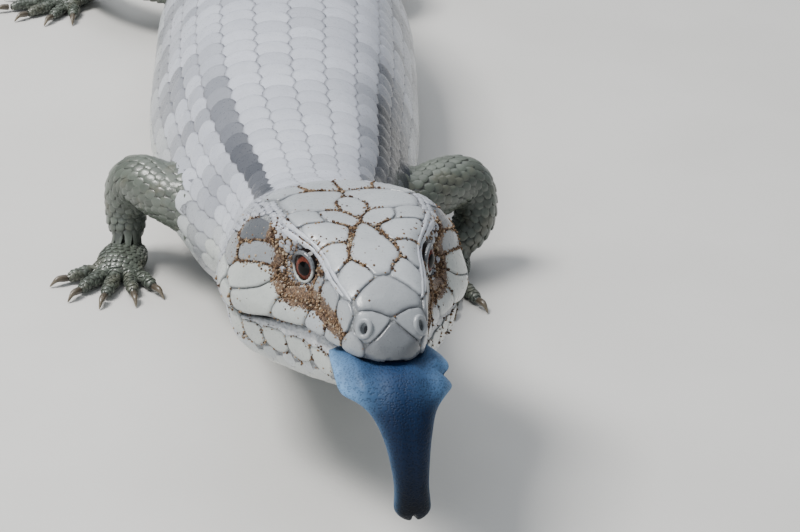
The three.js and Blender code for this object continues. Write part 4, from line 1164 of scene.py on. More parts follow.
def build_shields(skin):
    """All the shields of the head and the lips, the nasals with their nostrils on their own."""
    tree = tree_of(skin)
    draw = np.random.default_rng(11)
    plans = shield_plans(sizes().shield_rise / MM)
    grow_together(tree, plans)
    plates, nasals = [], []
    for plan in plans:
        verts, faces, edge = shield(tree, plan)
        # Dark holds each shield's dark markings, and painted shade on the front of the snout.
        marks = {"Edge": edge, "Tone": draw.uniform(0, 1), "Dark": SHIELD_DARK_AND_SHADE.get(plan["name"], 0.0),
                 "Cream": SHIELD_CREAM.get(plan["name"], 0.0), "Dirt": in_track(to_head(verts))}
        (nasals if plan["name"] == "nasal" else plates).append((verts, faces, marks))
    shields = join_pieces("head_shields", plates)
    nose = join_pieces("nasal_shields", nasals)
    half = np.array(NOSTRIL["half"]) * 0.96
    combine(nose, [ellipsoid("pit", NOSTRIL["centre"], half, side) for side in (-1, 1)], "DIFFERENCE")
    return shields, nose


def guard_tree():
    """Surface lookup over all the shields of the head."""
    verts, triangles = [], []
    for name in ("head_shields", "nasal_shields"):
        made = bpy.data.objects[name]
        made.data.calc_loop_triangles()
        start = len(verts)
        verts += [Vector(p) for p in points_of(made)]
        triangles += [[i + start for i in t.vertices] for t in made.data.loop_triangles]
    return BVHTree.FromPolygons(verts, triangles)


# ---- Overlapping scales ----
ROW_STEP = [[46, 3.9], [60, 4.4], [80, 5], [110, 5.5], [250, 5.3], [300, 4.4], [380, 3.2], [452, 1.7]]
COLUMNS = [(46, 290, 28), (290, 372, 20), (372, 449.5, 12)]  # from, to, scales round the girth
SCALES_A_PIECE = 1100
ROOM = 0.9  # a scale of the body farther than this from the skin would stand on a leg
LEG_ROOM = 1.3  # and a scale of a leg farther than this would stand inside the body
UNWRAP_LENGTH = 470  # millimetres of the body along the unwrap
UNWRAP_GIRTH = 12.5  # the unwrap's breadth in steps of the section
PATCH = 0.0014  # half a scale's patch on the unwrap


def scale_shape(sides, shares):
    """The one scale that others are copied from: marks across and along, ring numbers and faces."""
    select_any()
    bpy.ops.mesh.primitive_circle_add(vertices=sides, radius=1, fill_type="NOTHING", location=(0, 0, 0))
    made = bpy.context.object
    bpy.ops.object.mode_set(mode="EDIT")
    bpy.ops.mesh.select_all(action="SELECT")
    for share in shares:
        bpy.ops.mesh.extrude_edges_move()
        bpy.ops.transform.resize(value=(share, share, 1), center_override=(0, 0, 0))
        bpy.ops.transform.translate(value=(0, 0, 1))
    bpy.ops.mesh.edge_face_add()
    bpy.ops.mesh.select_all(action="DESELECT")
    bpy.ops.mesh.select_non_manifold()
    bpy.ops.mesh.edge_face_add()
    bpy.ops.object.mode_set(mode="OBJECT")
    face_outwards(made)
    flat = np.array([v.co for v in made.data.vertices])
    faces = [tuple(p.vertices) for p in made.data.polygons]
    bpy.data.objects.remove(made, do_unlink=True)
    return flat[:, 0], flat[:, 1], np.rint(flat[:, 2]).astype(int), faces


def scale_lift(shape, rise):
    """Height over the skin: sunk at the root, raised at the free edge, a little cushioned."""
    across, along, ring, _ = shape
    lean = ease(-1, 0.9, along)
    top = -0.14 + (rise + 0.14) * lean + 0.16 * rise * (1 - np.hypot(across, along) ** 2)
    top = np.where(ring == 1, top - 0.2 * rise, top)
    return np.where(ring == 0, -0.16 + 0.4 * rise * lean, top)


def scale_edge(shape):
    """Nearness to the rim, most to its two sides."""
    across, along, ring, _ = shape
    reach = np.hypot(across, along)
    beside = np.abs(across) / np.maximum(reach, 0.05)
    return np.where(ring == 0, 0.45 + 0.55 * beside, reach**3 * (0.34 + 0.66 * beside))


def on_skin(tree, points):
    """For each point the nearest place on the skin, the way out of the skin there and the distance."""
    hits = [tree.find_nearest(p) for p in points.reshape(-1, 3).tolist()]
    places = np.array([hit[0] for hit in hits]).reshape(points.shape)
    normals = unit(np.array([hit[1] for hit in hits])).reshape(points.shape)
    return places, normals, np.array([hit[3] for hit in hits]).reshape(points.shape[:-1])


def lay_scales(name, shape, tree, points, lift, roots, marks):
    """Objects of joined scales, from points (scale, vertex) near the skin and marks for each scale."""
    across, along, _, faces = shape
    count, size = points.shape[:2]
    made = []
    edge = scale_edge(shape)
    patch = PATCH * np.stack([across, along], -1)
    for first in range(0, count, SCALES_A_PIECE):
        part = slice(first, min(first + SCALES_A_PIECE, count))
        places, normals, _ = on_skin(tree, points[part])
        verts = on_ground(places + normals * lift[part, :, None])
        own = len(verts)
        all_faces = [tuple(i + k * size for i in face) for k in range(own) for face in faces]
        values = {key: np.repeat(value[part], size) for key, value in marks.items()}
        values["Edge"] = np.tile(edge, own)
        piece = new_object(f"{name}_{len(made) + 1}", verts.reshape(-1, 3), all_faces, values)
        set_unwrap(piece, (roots[part, None] + patch[None]).reshape(-1, 2))
        made.append(piece)
    return made


def clear_of(tree, points, gap):
    """Which points have no shield within the gap."""
    gaps = np.broadcast_to(gap, len(points))
    return np.array([tree.find_nearest(p)[3] > least for p, least in zip(points.tolist(), gaps)])


def row_places(s, low=0.0, high=10.0):
    """Even shares of the girth between two places of the section, with the back scales the widest."""
    q = np.linspace(low, high, 321)
    points = body_point(s, q)
    middle = (q[1:] + q[:-1]) / 2
    fold = np.minimum(middle, 10 - middle)
    wide = 1.22 - 0.36 * ease(0.5, 1.4, fold) + 0.22 * ease(3.2, 4.4, fold)
    steps = np.linalg.norm(np.diff(points, axis=0), axis=1) / wide
    total = np.concatenate([[0], np.cumsum(steps)])
    return q, total / total[-1], total[-1]


def body_layout():
    """Station, place on the girth, half length and half width in shares of the girth, row by row."""
    layout = []
    for start, end, count in COLUMNS:
        s = start
        while s < end:
            step = float(keyed(ROW_STEP, s))
            q, share, _ = row_places(s)
            for i in range(count):
                at = s + (i % 2) * step / 2
                length = step * sizes().scale_overlap / 2
                layout.append((at, (i + 0.5) / count, length, 0.55 / count, q, share))
            s += step
    s, row = 7.5, 0
    while s < 46:
        step = float(keyed([[7, 1.9], [20, 2.4], [46, 3]], s))
        q, share, girth = row_places(s, 3.3, 6.7)
        count = max(3, round(girth / (step * 1.25)))
        for i in range(count + row % 2):
            centre = (i + 0.5 - 0.5 * (row % 2)) / count
            layout.append((s, centre, step * 0.84, 0.57 / count, q, share))
        s += step
        row += 1
    return layout


def build_body_scales(tree, guard):
    """Scales of the throat, the neck, the trunk and the tail."""
    shape = scale_shape(16, (0.97, 0.9, 0.76, 0.42))
    across, along = shape[:2]
    broad = np.sign(across) * np.abs(across) ** 0.88 * (1 + 0.1 * (1 - along**2))
    draw = np.random.default_rng(21)
    rise = sizes().scale_rise / MM
    points, lifts, roots, rows = [], [], [], []
    for s, centre, length, width, q, share in body_layout():
        turn = draw.normal(0, 0.035)
        at_s = s + length * (along + turn * broad) * draw.uniform(0.97, 1.03)
        at_share = centre + width * (broad - turn * along) * draw.uniform(0.98, 1.02)
        whole = q[-1] - q[0] > 9
        at_share = np.mod(at_share, 1.0) if whole else np.clip(at_share, 0, 1)
        at_q = np.interp(at_share, share, q)
        points.append(body_point(np.clip(at_s, 4, TAIL_TIP - 0.2), at_q))
        own = rise * float(keyed([[7, 0.55], [46, 0.62], [70, 0.85], [110, 1], [300, 0.9], [452, 0.35]], s))
        lifts.append(scale_lift(shape, own * draw.uniform(0.88, 1.12)))
        mid_q = float(np.interp(np.mod(centre, 1.0) if whole else np.clip(centre, 0, 1), share, q))
        roots.append([(s - length) / UNWRAP_LENGTH, mid_q / UNWRAP_GIRTH])
        rows.append([s, mid_q])
    points, lifts, roots, rows = (np.array(each) for each in (points, lifts, roots, rows))
    middle = body_point(rows[:, 0], rows[:, 1])
    _, _, away = on_skin(tree, middle)
    head = to_head(middle)
    ear = np.linalg.norm((head - np.array(EAR["centre"]) * to_its_side(head)) / EAR["half"], axis=1)
    keep = (away < ROOM) & (ear > 1.25)
    near_head = rows[:, 0] < 60
    keep[near_head] &= clear_of(guard, middle[near_head], np.where(rows[near_head, 0] < 46, 0.12, 0.5))
    dark, cream = markings(rows[:, 0], rows[:, 1])
    dark = np.clip(dark + draw.normal(0, 0.06, len(rows)), 0, 1)
    marks = {"Tone": draw.uniform(0, 1, len(rows)), "Dark": dark, "Cream": cream}
    return lay_scales("body_scales", shape, tree, points[keep], lifts[keep], roots[keep],
                      {key: value[keep] for key, value in marks.items()})


def tube_at(line, radii, facing, share, angle, flat=1.0):
    """Points on a tube round a line of joints."""
    centre, along = path(line, at=np.clip(share, 0, 1))
    across = unit(np.cross(along, facing))
    over = np.cross(across, along)
    radius = keyed(radii, share)[..., None]
    return centre + radius * (across * np.cos(angle)[..., None] + over * np.sin(angle)[..., None] * flat)


def tube_layout(line, radii, step, width, start, end):
    """Share along, angle and half sizes of the scales round a tube."""
    spots, _ = path(line, count=120)
    length = np.linalg.norm(np.diff(spots, axis=0), axis=1).sum()
    share, row = start, 0
    while share < end:
        count = max(5, round(2 * math.pi * float(keyed(radii, share)) / width))
        for i in range(count):
            angle = (i + 0.5 * (row % 2)) / count * 2 * math.pi
            yield share, angle, step * 0.82 / length, 0.57 * 2 * math.pi / count
        share += step / length
        row += 1


def build_leg_scales(tree):
    """Small scales of the legs and palms, and the cross plates of the toes."""
    shape = scale_shape(12, (0.95, 0.82, 0.45))
    across, along = shape[:2]
    draw = np.random.default_rng(31)
    points, lifts, roots, cream = [], [], [], []
    length = sizes().toe_scale / MM
    for n, name in enumerate(LIMBS):
        joints, palm, toes = limb_lines(name)
        leg_radii = LIMB_RADII[name.split("_")[0]]
        sets = [(joints, leg_radii, FORWARD, length * 0.84, length, 1.0, 0.36, 0.0, 1.0),
                (palm, PALM_RADII, UP, 1.25, 1.5, PALM_FLATNESS, 0.24, 0.05, 0.97)]
        sets += [(line, toe_radii(), UP, 1.05, 1.9, 1.0, 0.24, 0.14, 0.96) for line, _ in toes]
        for k, (line, radii, facing, step, width, flat, rise, start, end) in enumerate(sets):
            for share, angle, half_length, half_width in tube_layout(line, radii, step, width, start, end):
                at_share = share + half_length * along * draw.uniform(0.95, 1.05)
                at_angle = angle + half_width * across + draw.normal(0, 0.02)
                points.append(tube_at(line, radii, facing, at_share, at_angle, flat))
                lifts.append(scale_lift(shape, rise * draw.uniform(0.85, 1.15)))
                roots.append([0.02 + 0.24 * n + 0.03 * k + 0.02 * share,
                              0.84 + 0.14 * (angle / 2 / math.pi)])
                cream.append(0.5 * ease(0.0, -0.9, math.sin(angle)) if k == 0 else 0.0)
    points, lifts, roots = np.array(points), np.array(lifts), np.array(roots)
    _, _, away = on_skin(tree, points.mean(1))
    keep = away < LEG_ROOM
    marks = {"Tone": draw.uniform(0, 1, len(points)), "Dark": np.zeros(len(points)),
             "Cream": np.array(cream)}
    return lay_scales("leg_scales", shape, tree, points[keep], lifts[keep], roots[keep],
                      {key: value[keep] for key, value in marks.items()})


# ---- Small scales of the face, lids, nostril rims and sand ----
def flat_axes(normals):
    """Two directions in the surface for each way out of it, the second towards the tail."""
    back = np.broadcast_to(HEAD_ALONG, normals.shape)
    along = unit(back - normals * np.sum(back * normals, -1, keepdims=True))
    return np.cross(along, normals), along


def face_roots(head, height):
    """Places on the unwrap for the small things of the face."""
    return np.stack([head[:, 1] / UNWRAP_LENGTH, np.where(head[:, 0] > 0, 0.1, 0.7) + height / 1000], -1)


def face_spots(draw, spacing):
    """Jittered places over both sides of the head above the mouth."""
    spots = []
    for s in np.arange(6, 54, spacing):
        q = np.linspace(0, 2.96, 400)
        points = body_point(s, q)
        length = np.concatenate([[0], np.cumsum(np.linalg.norm(np.diff(points, axis=0), axis=1))])
        at = np.arange(0.4 * spacing, length[-1], spacing)
        at = at + draw.uniform(-0.22, 0.22, len(at)) * spacing
        own_q = np.interp(at, length, q)
        own_s = s + draw.uniform(-0.22, 0.22, len(at)) * spacing
        spots += [[a, b] for a, b in zip(own_s, own_q)] + [[a, 10 - b] for a, b in zip(own_s, own_q)]
    return np.array(spots)


def from_eye(head):
    """Distance of head points from the line of sight of the eye on their side."""
    flip = to_its_side(head)
    facing = unit(np.array(EYE["facing"]) * flip)
    gap = head - EYE_CENTRE * flip
    return np.linalg.norm(gap - facing * np.sum(gap * facing, 1, keepdims=True), axis=1)


def brow_plates(across, along, ring):
    """Two rows of long plates along the ridge from the nostril over the eye."""
    points, lift, middle = [], [], []
    for sign in (1, -1):
        for q, start, wide in ((0.985, 9.5, 0.06), (1.115, 11.4, 0.064)):
            for s in np.arange(start, 33.5, 3.9):
                points.append(body_point(s + 2.9 * along, sign * (q + wide * across)))
                dome = np.sqrt(np.clip(1 - np.abs(across) ** 2.2, 0, 1)) * (1 - 0.25 * along**4)
                low = 0.16 * ease(26, 34, s)
                lift.append(np.where(ring == 0, -0.3, 0.26 - low + (0.34 - low) * dome + 0.05 * along))
                middle.append(body_point(s, sign * q))
    return np.array(points), np.array(lift), np.array(middle)


LID_RINGS = ((3.75, 24, 0.46), (4.55, 24, 0.56))  # distance from the eye's axis, scales, size
GRANULE = 0.8
GRANULE_STEP = 1.35


def build_face_scales(tree, guard):
    """Granular scales wherever the face has no shield, smallest round the eyes, and rings of lid scales."""
    shape = scale_shape(10, (0.95, 0.8, 0.4))
    across, along, ring, _ = shape
    draw = np.random.default_rng(41)
    spots = face_spots(draw, GRANULE_STEP)
    middle = body_point(spots[:, 0], spots[:, 1])
    head = to_head(middle)
    eye = from_eye(head)
    nostril = np.linalg.norm((np.abs(head) - np.array(NOSTRIL["centre"])) / NOSTRIL["half"], axis=1)
    keep = (eye > 4.9) & (nostril > 1.5)
    keep &= clear_of(guard, on_skin(tree, middle)[0], 0.52)
    middle = middle[keep]
    radius = GRANULE * draw.uniform(0.85, 1.1, len(middle))
    lids, lid_radius = [], []
    for side in (-1, 1):
        right, over, facing = eye_axes(side)
        for reach, count, size in LID_RINGS:
            for k in range(count):
                angle = (k + 0.5 * (reach > 4)) / count * 2 * math.pi
                spot = (EYE_CENTRE * [side, 1, 1] + facing * 3.0
                        + reach * (math.cos(angle) * right + math.sin(angle) * over * 0.94))
                lids.append(from_head(spot))
                lid_radius.append(size)
    middle = np.vstack([middle, lids])
    radius = np.concatenate([radius, lid_radius])
    places, normals, _ = on_skin(tree, middle)
    right, back = flat_axes(normals)
    points = places[:, None] + radius[:, None, None] * (across[None, :, None] * right[:, None]
                                                        + along[None, :, None] * back[:, None] * 1.05)
    reach = np.hypot(across, along)
    dome = np.where(ring == 0, -0.2, 0.08 + 0.34 * np.sqrt(np.clip(1 - reach**2, 0, 1)))
    lift = dome[None] * (radius[:, None] / GRANULE) + np.where(ring == 0, 0, 0.05)
    ridge_points, ridge_lift, ridge_middle = brow_plates(across, along, ring)
    points, lift = np.vstack([points, ridge_points]), np.vstack([lift, ridge_lift])
    middle = np.vstack([middle, ridge_middle])
    head = to_head(middle)
    roots = face_roots(head, head[:, 2])
    dark = 0.3 + 0.65 * np.exp(-(((from_eye(head) - 3.4) / 1.5) ** 2)) * draw.uniform(0.6, 1, len(middle))
    dark[len(middle) - len(ridge_middle):] = 0.06
    marks = {"Tone": draw.uniform(0, 1, len(middle)), "Dark": dark,
             "Cream": 0.3 * draw.uniform(0, 1, len(middle))}
    return lay_scales("face_scales", shape, tree, points, lift, roots, marks)


def loop_tube(points, radius, sides=12):
    """A closed roll along a closed line of points."""
    along = unit(np.roll(points, -1, 0) - np.roll(points, 1, 0))
    outward = points - points.mean(0)
    outward = unit(outward - along * np.sum(outward * along, -1, keepdims=True))
    over = np.cross(along, outward)
    angle = (np.arange(sides) / sides * 2 * math.pi)[None, :, None]
    out = outward[:, None] * np.cos(angle) + over[:, None] * np.sin(angle)
    rings = points[:, None] + radius[:, None, None] * out
    n = len(points)
    r, k = np.meshgrid(np.arange(n), np.arange(sides), indexing="ij")
    a, b = r * sides + k, r * sides + (k + 1) % sides
    c, d = (r + 1) % n * sides + (k + 1) % sides, (r + 1) % n * sides + k
    return rings.reshape(-1, 3), [tuple(f) for f in np.stack([a, b, c, d], -1).reshape(-1, 4)]


def build_lids():
    """Beaded rims of the lids, pale below, dark round the rest and darkest behind the eye with painted shade
    of the groove there, and the raised rims of the nostrils.
    """
    pieces = []
    angle = np.arange(176) / 176 * 2 * math.pi
    for side in (-1, 1):
        right, over, facing = eye_axes(side)
        wide, high = 2.95 * np.cos(angle), np.sin(angle) * np.where(np.sin(angle) > 0, 2.5, 2.85)
        depth = np.sqrt(np.clip((EYE["radius"] + 0.1) ** 2 - wide**2 - high**2, 0.5, None))
        line = (EYE_CENTRE * [side, 1, 1] + wide[:, None] * right + high[:, None] * over
                + depth[:, None] * facing)
        beads = 1 + 0.1 * np.abs(np.sin(angle * 11))
        thick = np.where(np.sin(angle) > 0, 0.42, 0.3) * beads
        verts, faces = loop_tube(from_head(line), thick)
        # The lids grow darker towards the back of the eye, by the groove there: painted shade.
        rear_shade = np.cos(angle) * side * np.sign(right[1] * side)
        below = 1 - ease(-0.35, 0.15, np.sin(angle))
        dark = np.repeat(np.clip(0.75 + 0.25 * ease(0.3, 0.8, rear_shade) - 0.8 * below, 0, 1), 12)
        cream = np.repeat(below * 0.7, 12)
        pieces.append((verts, faces, {"Tone": 0.2, "Edge": 0.0, "Dark": dark, "Cream": cream}))
        small = np.arange(48) / 48 * 2 * math.pi
        centre = np.array(NOSTRIL["centre"]) * [side, 1, 1]
        out = unit(np.array([0.62 * side, -0.74, 0.28]))
        flat = unit(np.cross([0, 0, 1.0], out))
        tall = np.cross(out, flat)
        cos, sin = np.cos(small)[:, None], np.sin(small)[:, None]
        line = centre + out * 0.35 + 1.2 * cos * flat + 1.5 * sin * tall
        verts, faces = loop_tube(from_head(line), np.full(48, 0.52))
        pieces.append((verts, faces, {"Tone": 0.3, "Edge": 0.2, "Dark": np.full(len(verts), 0.25),
                                      "Cream": np.zeros(len(verts))}))
    made = join_pieces("lids_and_nostril_rims", pieces)
    face_outwards(made)
    return made


SEAM_SPREAD = 0.34  # how far sand strays from a seam
SAND_TRIES = 14  # places tried for each grain that lies open
SAND_TRACK = [(9.8, 3.4), (14.2, 5.8), (17.4, 6.9), (21, 6.4), (24.6, 7.4), (27.4, 10), (28.2, 14), (31, 16)]


def in_track(head):
    """Nearness to the band of sand that runs from the lip under and behind the eye, seen from the side."""
    spots, _ = path([(0, s, z) for s, z in SAND_TRACK], count=60)
    gap = np.linalg.norm(head[:, None, 1:] - spots[None, :, 1:], axis=-1).min(1)
    return np.exp(-((gap / 2.1) ** 4)) * (np.abs(head[:, 0]) > 5.5)


def sand_round_eye(head):
    """A ring of sand round each eye."""
    return np.exp(-(((from_eye(head) - 4.6) / 1.3) ** 2))


def seam_sand(head):
    """How much sand lies in the seams: most in the sutures of the crown and beside the eyes."""
    s, z = head[:, 1], head[:, 2]
    middle = np.abs(head[:, 0]) < 5.5
    crown = middle * (z > 12) * ease(11, 14, s) * (1 - ease(33, 39, s))
    nape = np.exp(-(((s - 45.5) / 4) ** 2)) * (z > 12) * (np.abs(head[:, 0]) < 8)
    temple = 0.8 * (s > 27) * (s < 42) * (z < 17) * (z > 9)
    lips = 0.1 * (z < 4.5) * (s > 12)
    spread = in_track(head) + 0.6 * sand_round_eye(head) + crown + nape + temple + lips
    return 0.01 + spread * one_sided(head)


def open_sand(head):
    """How much sand lies over the shields themselves."""
    s, z = head[:, 1], head[:, 2]
    sutures = 0.1 * (np.abs(head[:, 0]) < 6) * (z > 12) * ease(14, 18, s) * (1 - ease(36, 42, s))
    kite = (np.abs(head[:, 0]) < 3.4) * (s > 18) * (s < 31)
    temple = 0.2 * (s > 27) * (s < 42) * (z < 17) * (z > 9)
    spread = in_track(head) + 0.7 * sand_round_eye(head) + temple + sutures * (1 - 0.85 * kite)
    return 0.008 + spread * one_sided(head)


def one_sided(head):
    """More sand on the right side of the face than on the left."""
    return np.where(head[:, 0] < 0, 1.0, 0.6)


def shield_rims():
    """Points along the rims of the shields of the head."""
    made = bpy.data.objects["head_shields"]
    edge = np.zeros(len(made.data.vertices), np.float32)
    made.data.attributes["Edge"].data.foreach_get("value", edge)
    return points_of(made)[edge > 0.999]


def lay_grains(name, draw, tree, guard, surface):
    """One object of loose grains that rest on the skin or on the shields under the given points."""
    select_any()
    bpy.ops.mesh.primitive_ico_sphere_add(subdivisions=1, radius=1, location=(0, 0, 0))
    ball = bpy.context.object
    shape = np.array([v.co for v in ball.data.vertices])
    faces = [tuple(p.vertices) for p in ball.data.polygons]
    bpy.data.objects.remove(ball, do_unlink=True)
    places, normals, _ = on_skin(tree, surface)
    covered = ~clear_of(guard, places, 0.06)
    count = len(places)
    size = draw.gamma(6, 0.027, count).clip(0.07, 0.32)
    rise = sizes().shield_rise / MM
    height = np.where(covered, rise * 1.02 + 0.3 * size, size * 0.5 + draw.uniform(0, 0.25, count))
    centres = places + normals * height[:, None]
    stretch = draw.uniform(0.7, 1.25, (count, 1, 3))
    spin = np.linalg.qr(draw.normal(size=(count, 3, 3)))[0]
    grains = np.einsum("vk,nkj->nvj", shape, spin) * stretch * size[:, None, None]
    verts = (centres[:, None] + grains).reshape(-1, 3)
    all_faces = [tuple(i + k * len(shape) for i in face) for k in range(count) for face in faces]
    made = new_object(name, verts, all_faces, {"Tone": np.repeat(draw.uniform(0, 1, count), len(shape))})
    face_outwards(made)
    roots = face_roots(to_head(places), places[:, 2])
    set_unwrap(made, np.repeat(roots, len(shape), 0) + np.tile(shape[:, :2] * PATCH, (count, 1)))
    return made


def build_sand(tree, guard):
    """Loose sand, lodged in the seams and strewn before, under and behind the eyes."""
    draw = np.random.default_rng(51)
    count = sizes().grains
    rims = shield_rims()
    share = seam_sand(to_head(rims))
    lodged = rims[draw.choice(len(rims), count, p=share / share.sum())]
    lodged = lodged + draw.normal(0, SEAM_SPREAD, (count, 3))
    s = draw.uniform(5, 50, count * SAND_TRIES)
    fold = draw.uniform(0.02, 2.95, count * SAND_TRIES)
    strewn = body_point(s, np.where(draw.uniform(0, 1, len(s)) < 0.5, fold, 10 - fold))
    strewn = strewn[draw.uniform(0, 1, len(s)) < open_sand(to_head(strewn))][:count]
    layers = []
    for name, surface in (("sand_in_seams", lodged), ("sand_on_face", strewn)):
        surface = surface[from_eye(to_head(surface)) > 3.5]
        layers.append(lay_grains(name, draw, tree, guard, surface))
    return layers


# ---- Eyes, tongue, claws ----
def eye_axes(side):
    """Across, up and out of the eye of one side."""
    facing = unit(np.array(EYE["facing"]) * [side, 1, 1])
    across = unit(np.cross([0, 0, 1.0], facing))
    return across, np.cross(facing, across), facing


def build_eye(side, name):
    """Eyeball with its pole at the pupil and a low bulge of the cornea."""
    select_any()
    bpy.ops.mesh.primitive_uv_sphere_add(segments=64, ring_count=48, radius=1, location=(0, 0, 0))
    made = bpy.context.object
    made.name = name
    ball = np.array([v.co for v in made.data.vertices])
    out = unit(ball @ np.stack(eye_axes(side)))
    polar = np.arccos(np.clip(out @ unit(np.array(EYE["gaze"]) * [side, 1, 1]), -1, 1))
    bulge = 1 + 0.04 * np.exp(-((polar / 0.6) ** 2))
    head = EYE_CENTRE * [side, 1, 1] + out * (EYE["radius"] * bulge)[:, None]
    set_points(made, from_head(head))
    write_marks(made.data, {"Polar": polar})
    face_outwards(made)
    return made


TONGUE_FOLDS = ((0.5, -7, 1.5), (-0.5, -4, 1.8), (0.5, 8, 1.4), (-0.45, 5, 1.6))  # height, middle, width


def build_tongue():
    """The flat root and flap of the tongue, and the round part that hangs from it with its notched tip."""
    share = np.concatenate([np.linspace(0, 0.95, 150), np.linspace(0.953, 1, 26)])
    centre, along = path(TONGUE_PATH, at=share)
    over = -unit(np.cross([1.0, 0, 0], along))
    sides = 72
    angle = np.arange(sides) / sides * 2 * math.pi
    cos, sin = np.cos(angle)[None], np.sin(angle)[None]
    half = keyed(TONGUE_HALF_WIDTH, share)
    for _ in range(60):
        half[1:-30] = (half[:-31] + 2 * half[1:-30] + half[2:-29]) / 4
    half = half[:, None]
    thick = keyed(TONGUE_THICKNESS, share)[:, None] * 0.5
    groove = 0.22 * np.exp(-((cos / 0.22) ** 2)) * (sin > 0) * ease(0.2, 0.4, share)[:, None]
    side = np.sign(cos) * np.abs(cos) ** 0.9 * half
    lift = sin * (thick - groove) - keyed(TONGUE_DROOP, share)[:, None] * cos**2
    flap = 1 - ease(0.44, 0.56, share)[:, None]
    rim = np.abs(cos) ** 4
    side = side - 1.7 * np.exp(-(((share - 0.345) / 0.034) ** 2))[:, None] * rim * (cos > 0)
    fold = np.exp(-(((share - 0.345) / 0.026) ** 2))[:, None]
    lift = lift - 0.7 * fold * ease(0.35, 0.8, cos) * (sin > 0)
    for height, middle, wide in TONGUE_FOLDS:
        lift = lift + flap * height * np.exp(-(((side - middle) / wide) ** 2))
    notch = 1.5 * ease(0.94, 1, share)[:, None] * np.exp(-((side / 0.4) ** 2))
    rings = (centre[:, None] + side[..., None] * [1.0, 0, 0] + over[:, None] * lift[..., None]
             - along[:, None] * notch[..., None])
    verts, faces = skin_over(rings)
    spread = np.repeat(share, sides)
    rim = (np.abs(cos) ** 8 * np.ones_like(half)).ravel()
    # The right term makes the tongue paler on the animal's right side, towards the key lamp: painted light.
    right = ((0.5 - 0.5 * cos) * np.ones_like(half)).ravel()
    flap = flap.repeat(sides)
    across = (np.abs(cos) ** 1.5 * np.ones_like(half)).ravel()
    pale = np.clip(rim * (0.35 + 0.4 * flap) + flap * (0.02 + 0.5 * across + 0.1 * right * across), 0, 1)
    made = new_object("tongue_flesh", verts, faces,
                      {"Along": np.append(spread, [0, 1]), "Pale": np.append(pale, [0, 0])})
    face_outwards(made)
    return made


def build_claws():
    """Twenty curved claws, each grown out of its toe."""
    pieces = []
    for name in LIMBS:
        _, _, toes = limb_lines(name)
        for line, aim in toes:
            root = line[-1] + aim * 0.2
            root[2] = CLAW_RADIUS + 0.62
            middle = root + aim * CLAW_LENGTH * 0.55 + UP * 0.12
            tip = root + aim * (CLAW_LENGTH + 0.25)
            tip[2] = 0.32
            radii = [[0, CLAW_RADIUS * 0.95], [0.3, CLAW_RADIUS * 0.9], [0.75, CLAW_RADIUS * 0.42],
                     [1, 0.16]]
            rings = tube(np.array([root - aim * 0.4, middle, tip]), radii, UP, CLAW_SIDES, CLAW_RINGS)
            verts, faces = skin_over(rings)
            along = np.append(np.repeat(np.linspace(0, 1, CLAW_RINGS), CLAW_SIDES), [0, 1])
            pieces.append((verts, faces, {"Along": along**1.5}))
    made = join_pieces("claws", pieces)
    face_outwards(made)
    return made


# ---- Camera, light and floor ----
PHOTO_WIDTH, PHOTO_HEIGHT = 800, 532
SENSOR_WIDTH = 36
VIEW = {"azimuth": -13.07, "elevation": 15.68, "roll": 0.27, "distance": 514.1, "focal": 5.397,
        "middle": (362.7, 277.8), "target": (0, 26, 8.0)}
HEAD_SPOT = (0.0, -0.2, 0.05)
LAMPS = [  # name, place, aim, side, watts, colour
    ("key", (-0.5, -0.05, 0.85), HEAD_SPOT, 0.35, 14, (1, 0.98, 0.95)),
    ("fill", (-0.85, -0.75, 0.28), HEAD_SPOT, 0.8, 3, (0.92, 0.96, 1)),
    ("sky", (0.1, 0.35, 1.1), (0, 0, 0), 1.2, 7, (0.95, 0.97, 1)),
]
SKY_COLOUR = (0.86, 0.92, 1.0, 1)
SKY_STRENGTH = 0.36


def build_camera():
    """Look at the head from the angle and the distance of the photograph."""
    az, el = math.radians(VIEW["azimuth"]), math.radians(VIEW["elevation"])
    toward = np.array([math.sin(az) * math.cos(el), -math.cos(az) * math.cos(el), math.sin(el)])
    position = np.array(VIEW["target"]) + VIEW["distance"] * toward
    focal = VIEW["focal"] * VIEW["distance"]
    forward = -toward
    right = unit(np.cross(forward, UP))
    above = np.cross(right, forward)
    px, py = VIEW["middle"]
    aside, over = (px - PHOTO_WIDTH / 2) / focal, (PHOTO_HEIGHT / 2 - py) / focal
    forward = unit(forward - aside * right - over * above)
    right = unit(np.cross(forward, UP))
    above = np.cross(right, forward)
    cos, sin = math.cos(math.radians(VIEW["roll"])), math.sin(math.radians(VIEW["roll"]))
    right, above = cos * right + sin * above, cos * above - sin * right
    turn = lambda v: from_head(v) - from_head(np.zeros(3))
    right, above, forward = turn(right), turn(above), turn(forward)
    place_ = (from_head(position) + SHIFT) * MM
    camera = bpy.data.objects.new("camera", bpy.data.cameras.new("camera"))
    camera.data.sensor_width = SENSOR_WIDTH
    camera.data.sensor_fit = "HORIZONTAL"
    camera.data.lens = focal * SENSOR_WIDTH / PHOTO_WIDTH
    camera.data.clip_start = 0.01
    camera.data.dof.use_dof = False
    camera.matrix_world = Matrix([[*row, p] for row, p in zip(np.stack([right, above, -forward], 1), place_)]
                                 + [[0, 0, 0, 1]])
    bpy.context.collection.objects.link(camera)
    bpy.context.scene.camera = camera


def add_lamp(name, location, target, size, watts, colour):
    """A square soft lamp that looks at its target."""
    data = bpy.data.lights.new(name, "AREA")
    data.shape = "RECTANGLE"
    data.size = data.size_y = size
    data.energy = watts
    data.color = colour
    lamp = bpy.data.objects.new(name, data)
    lamp.location = location
    lamp.rotation_euler = (Vector(target) - Vector(location)).to_track_quat("-Z", "Y").to_euler()
    bpy.context.collection.objects.link(lamp)


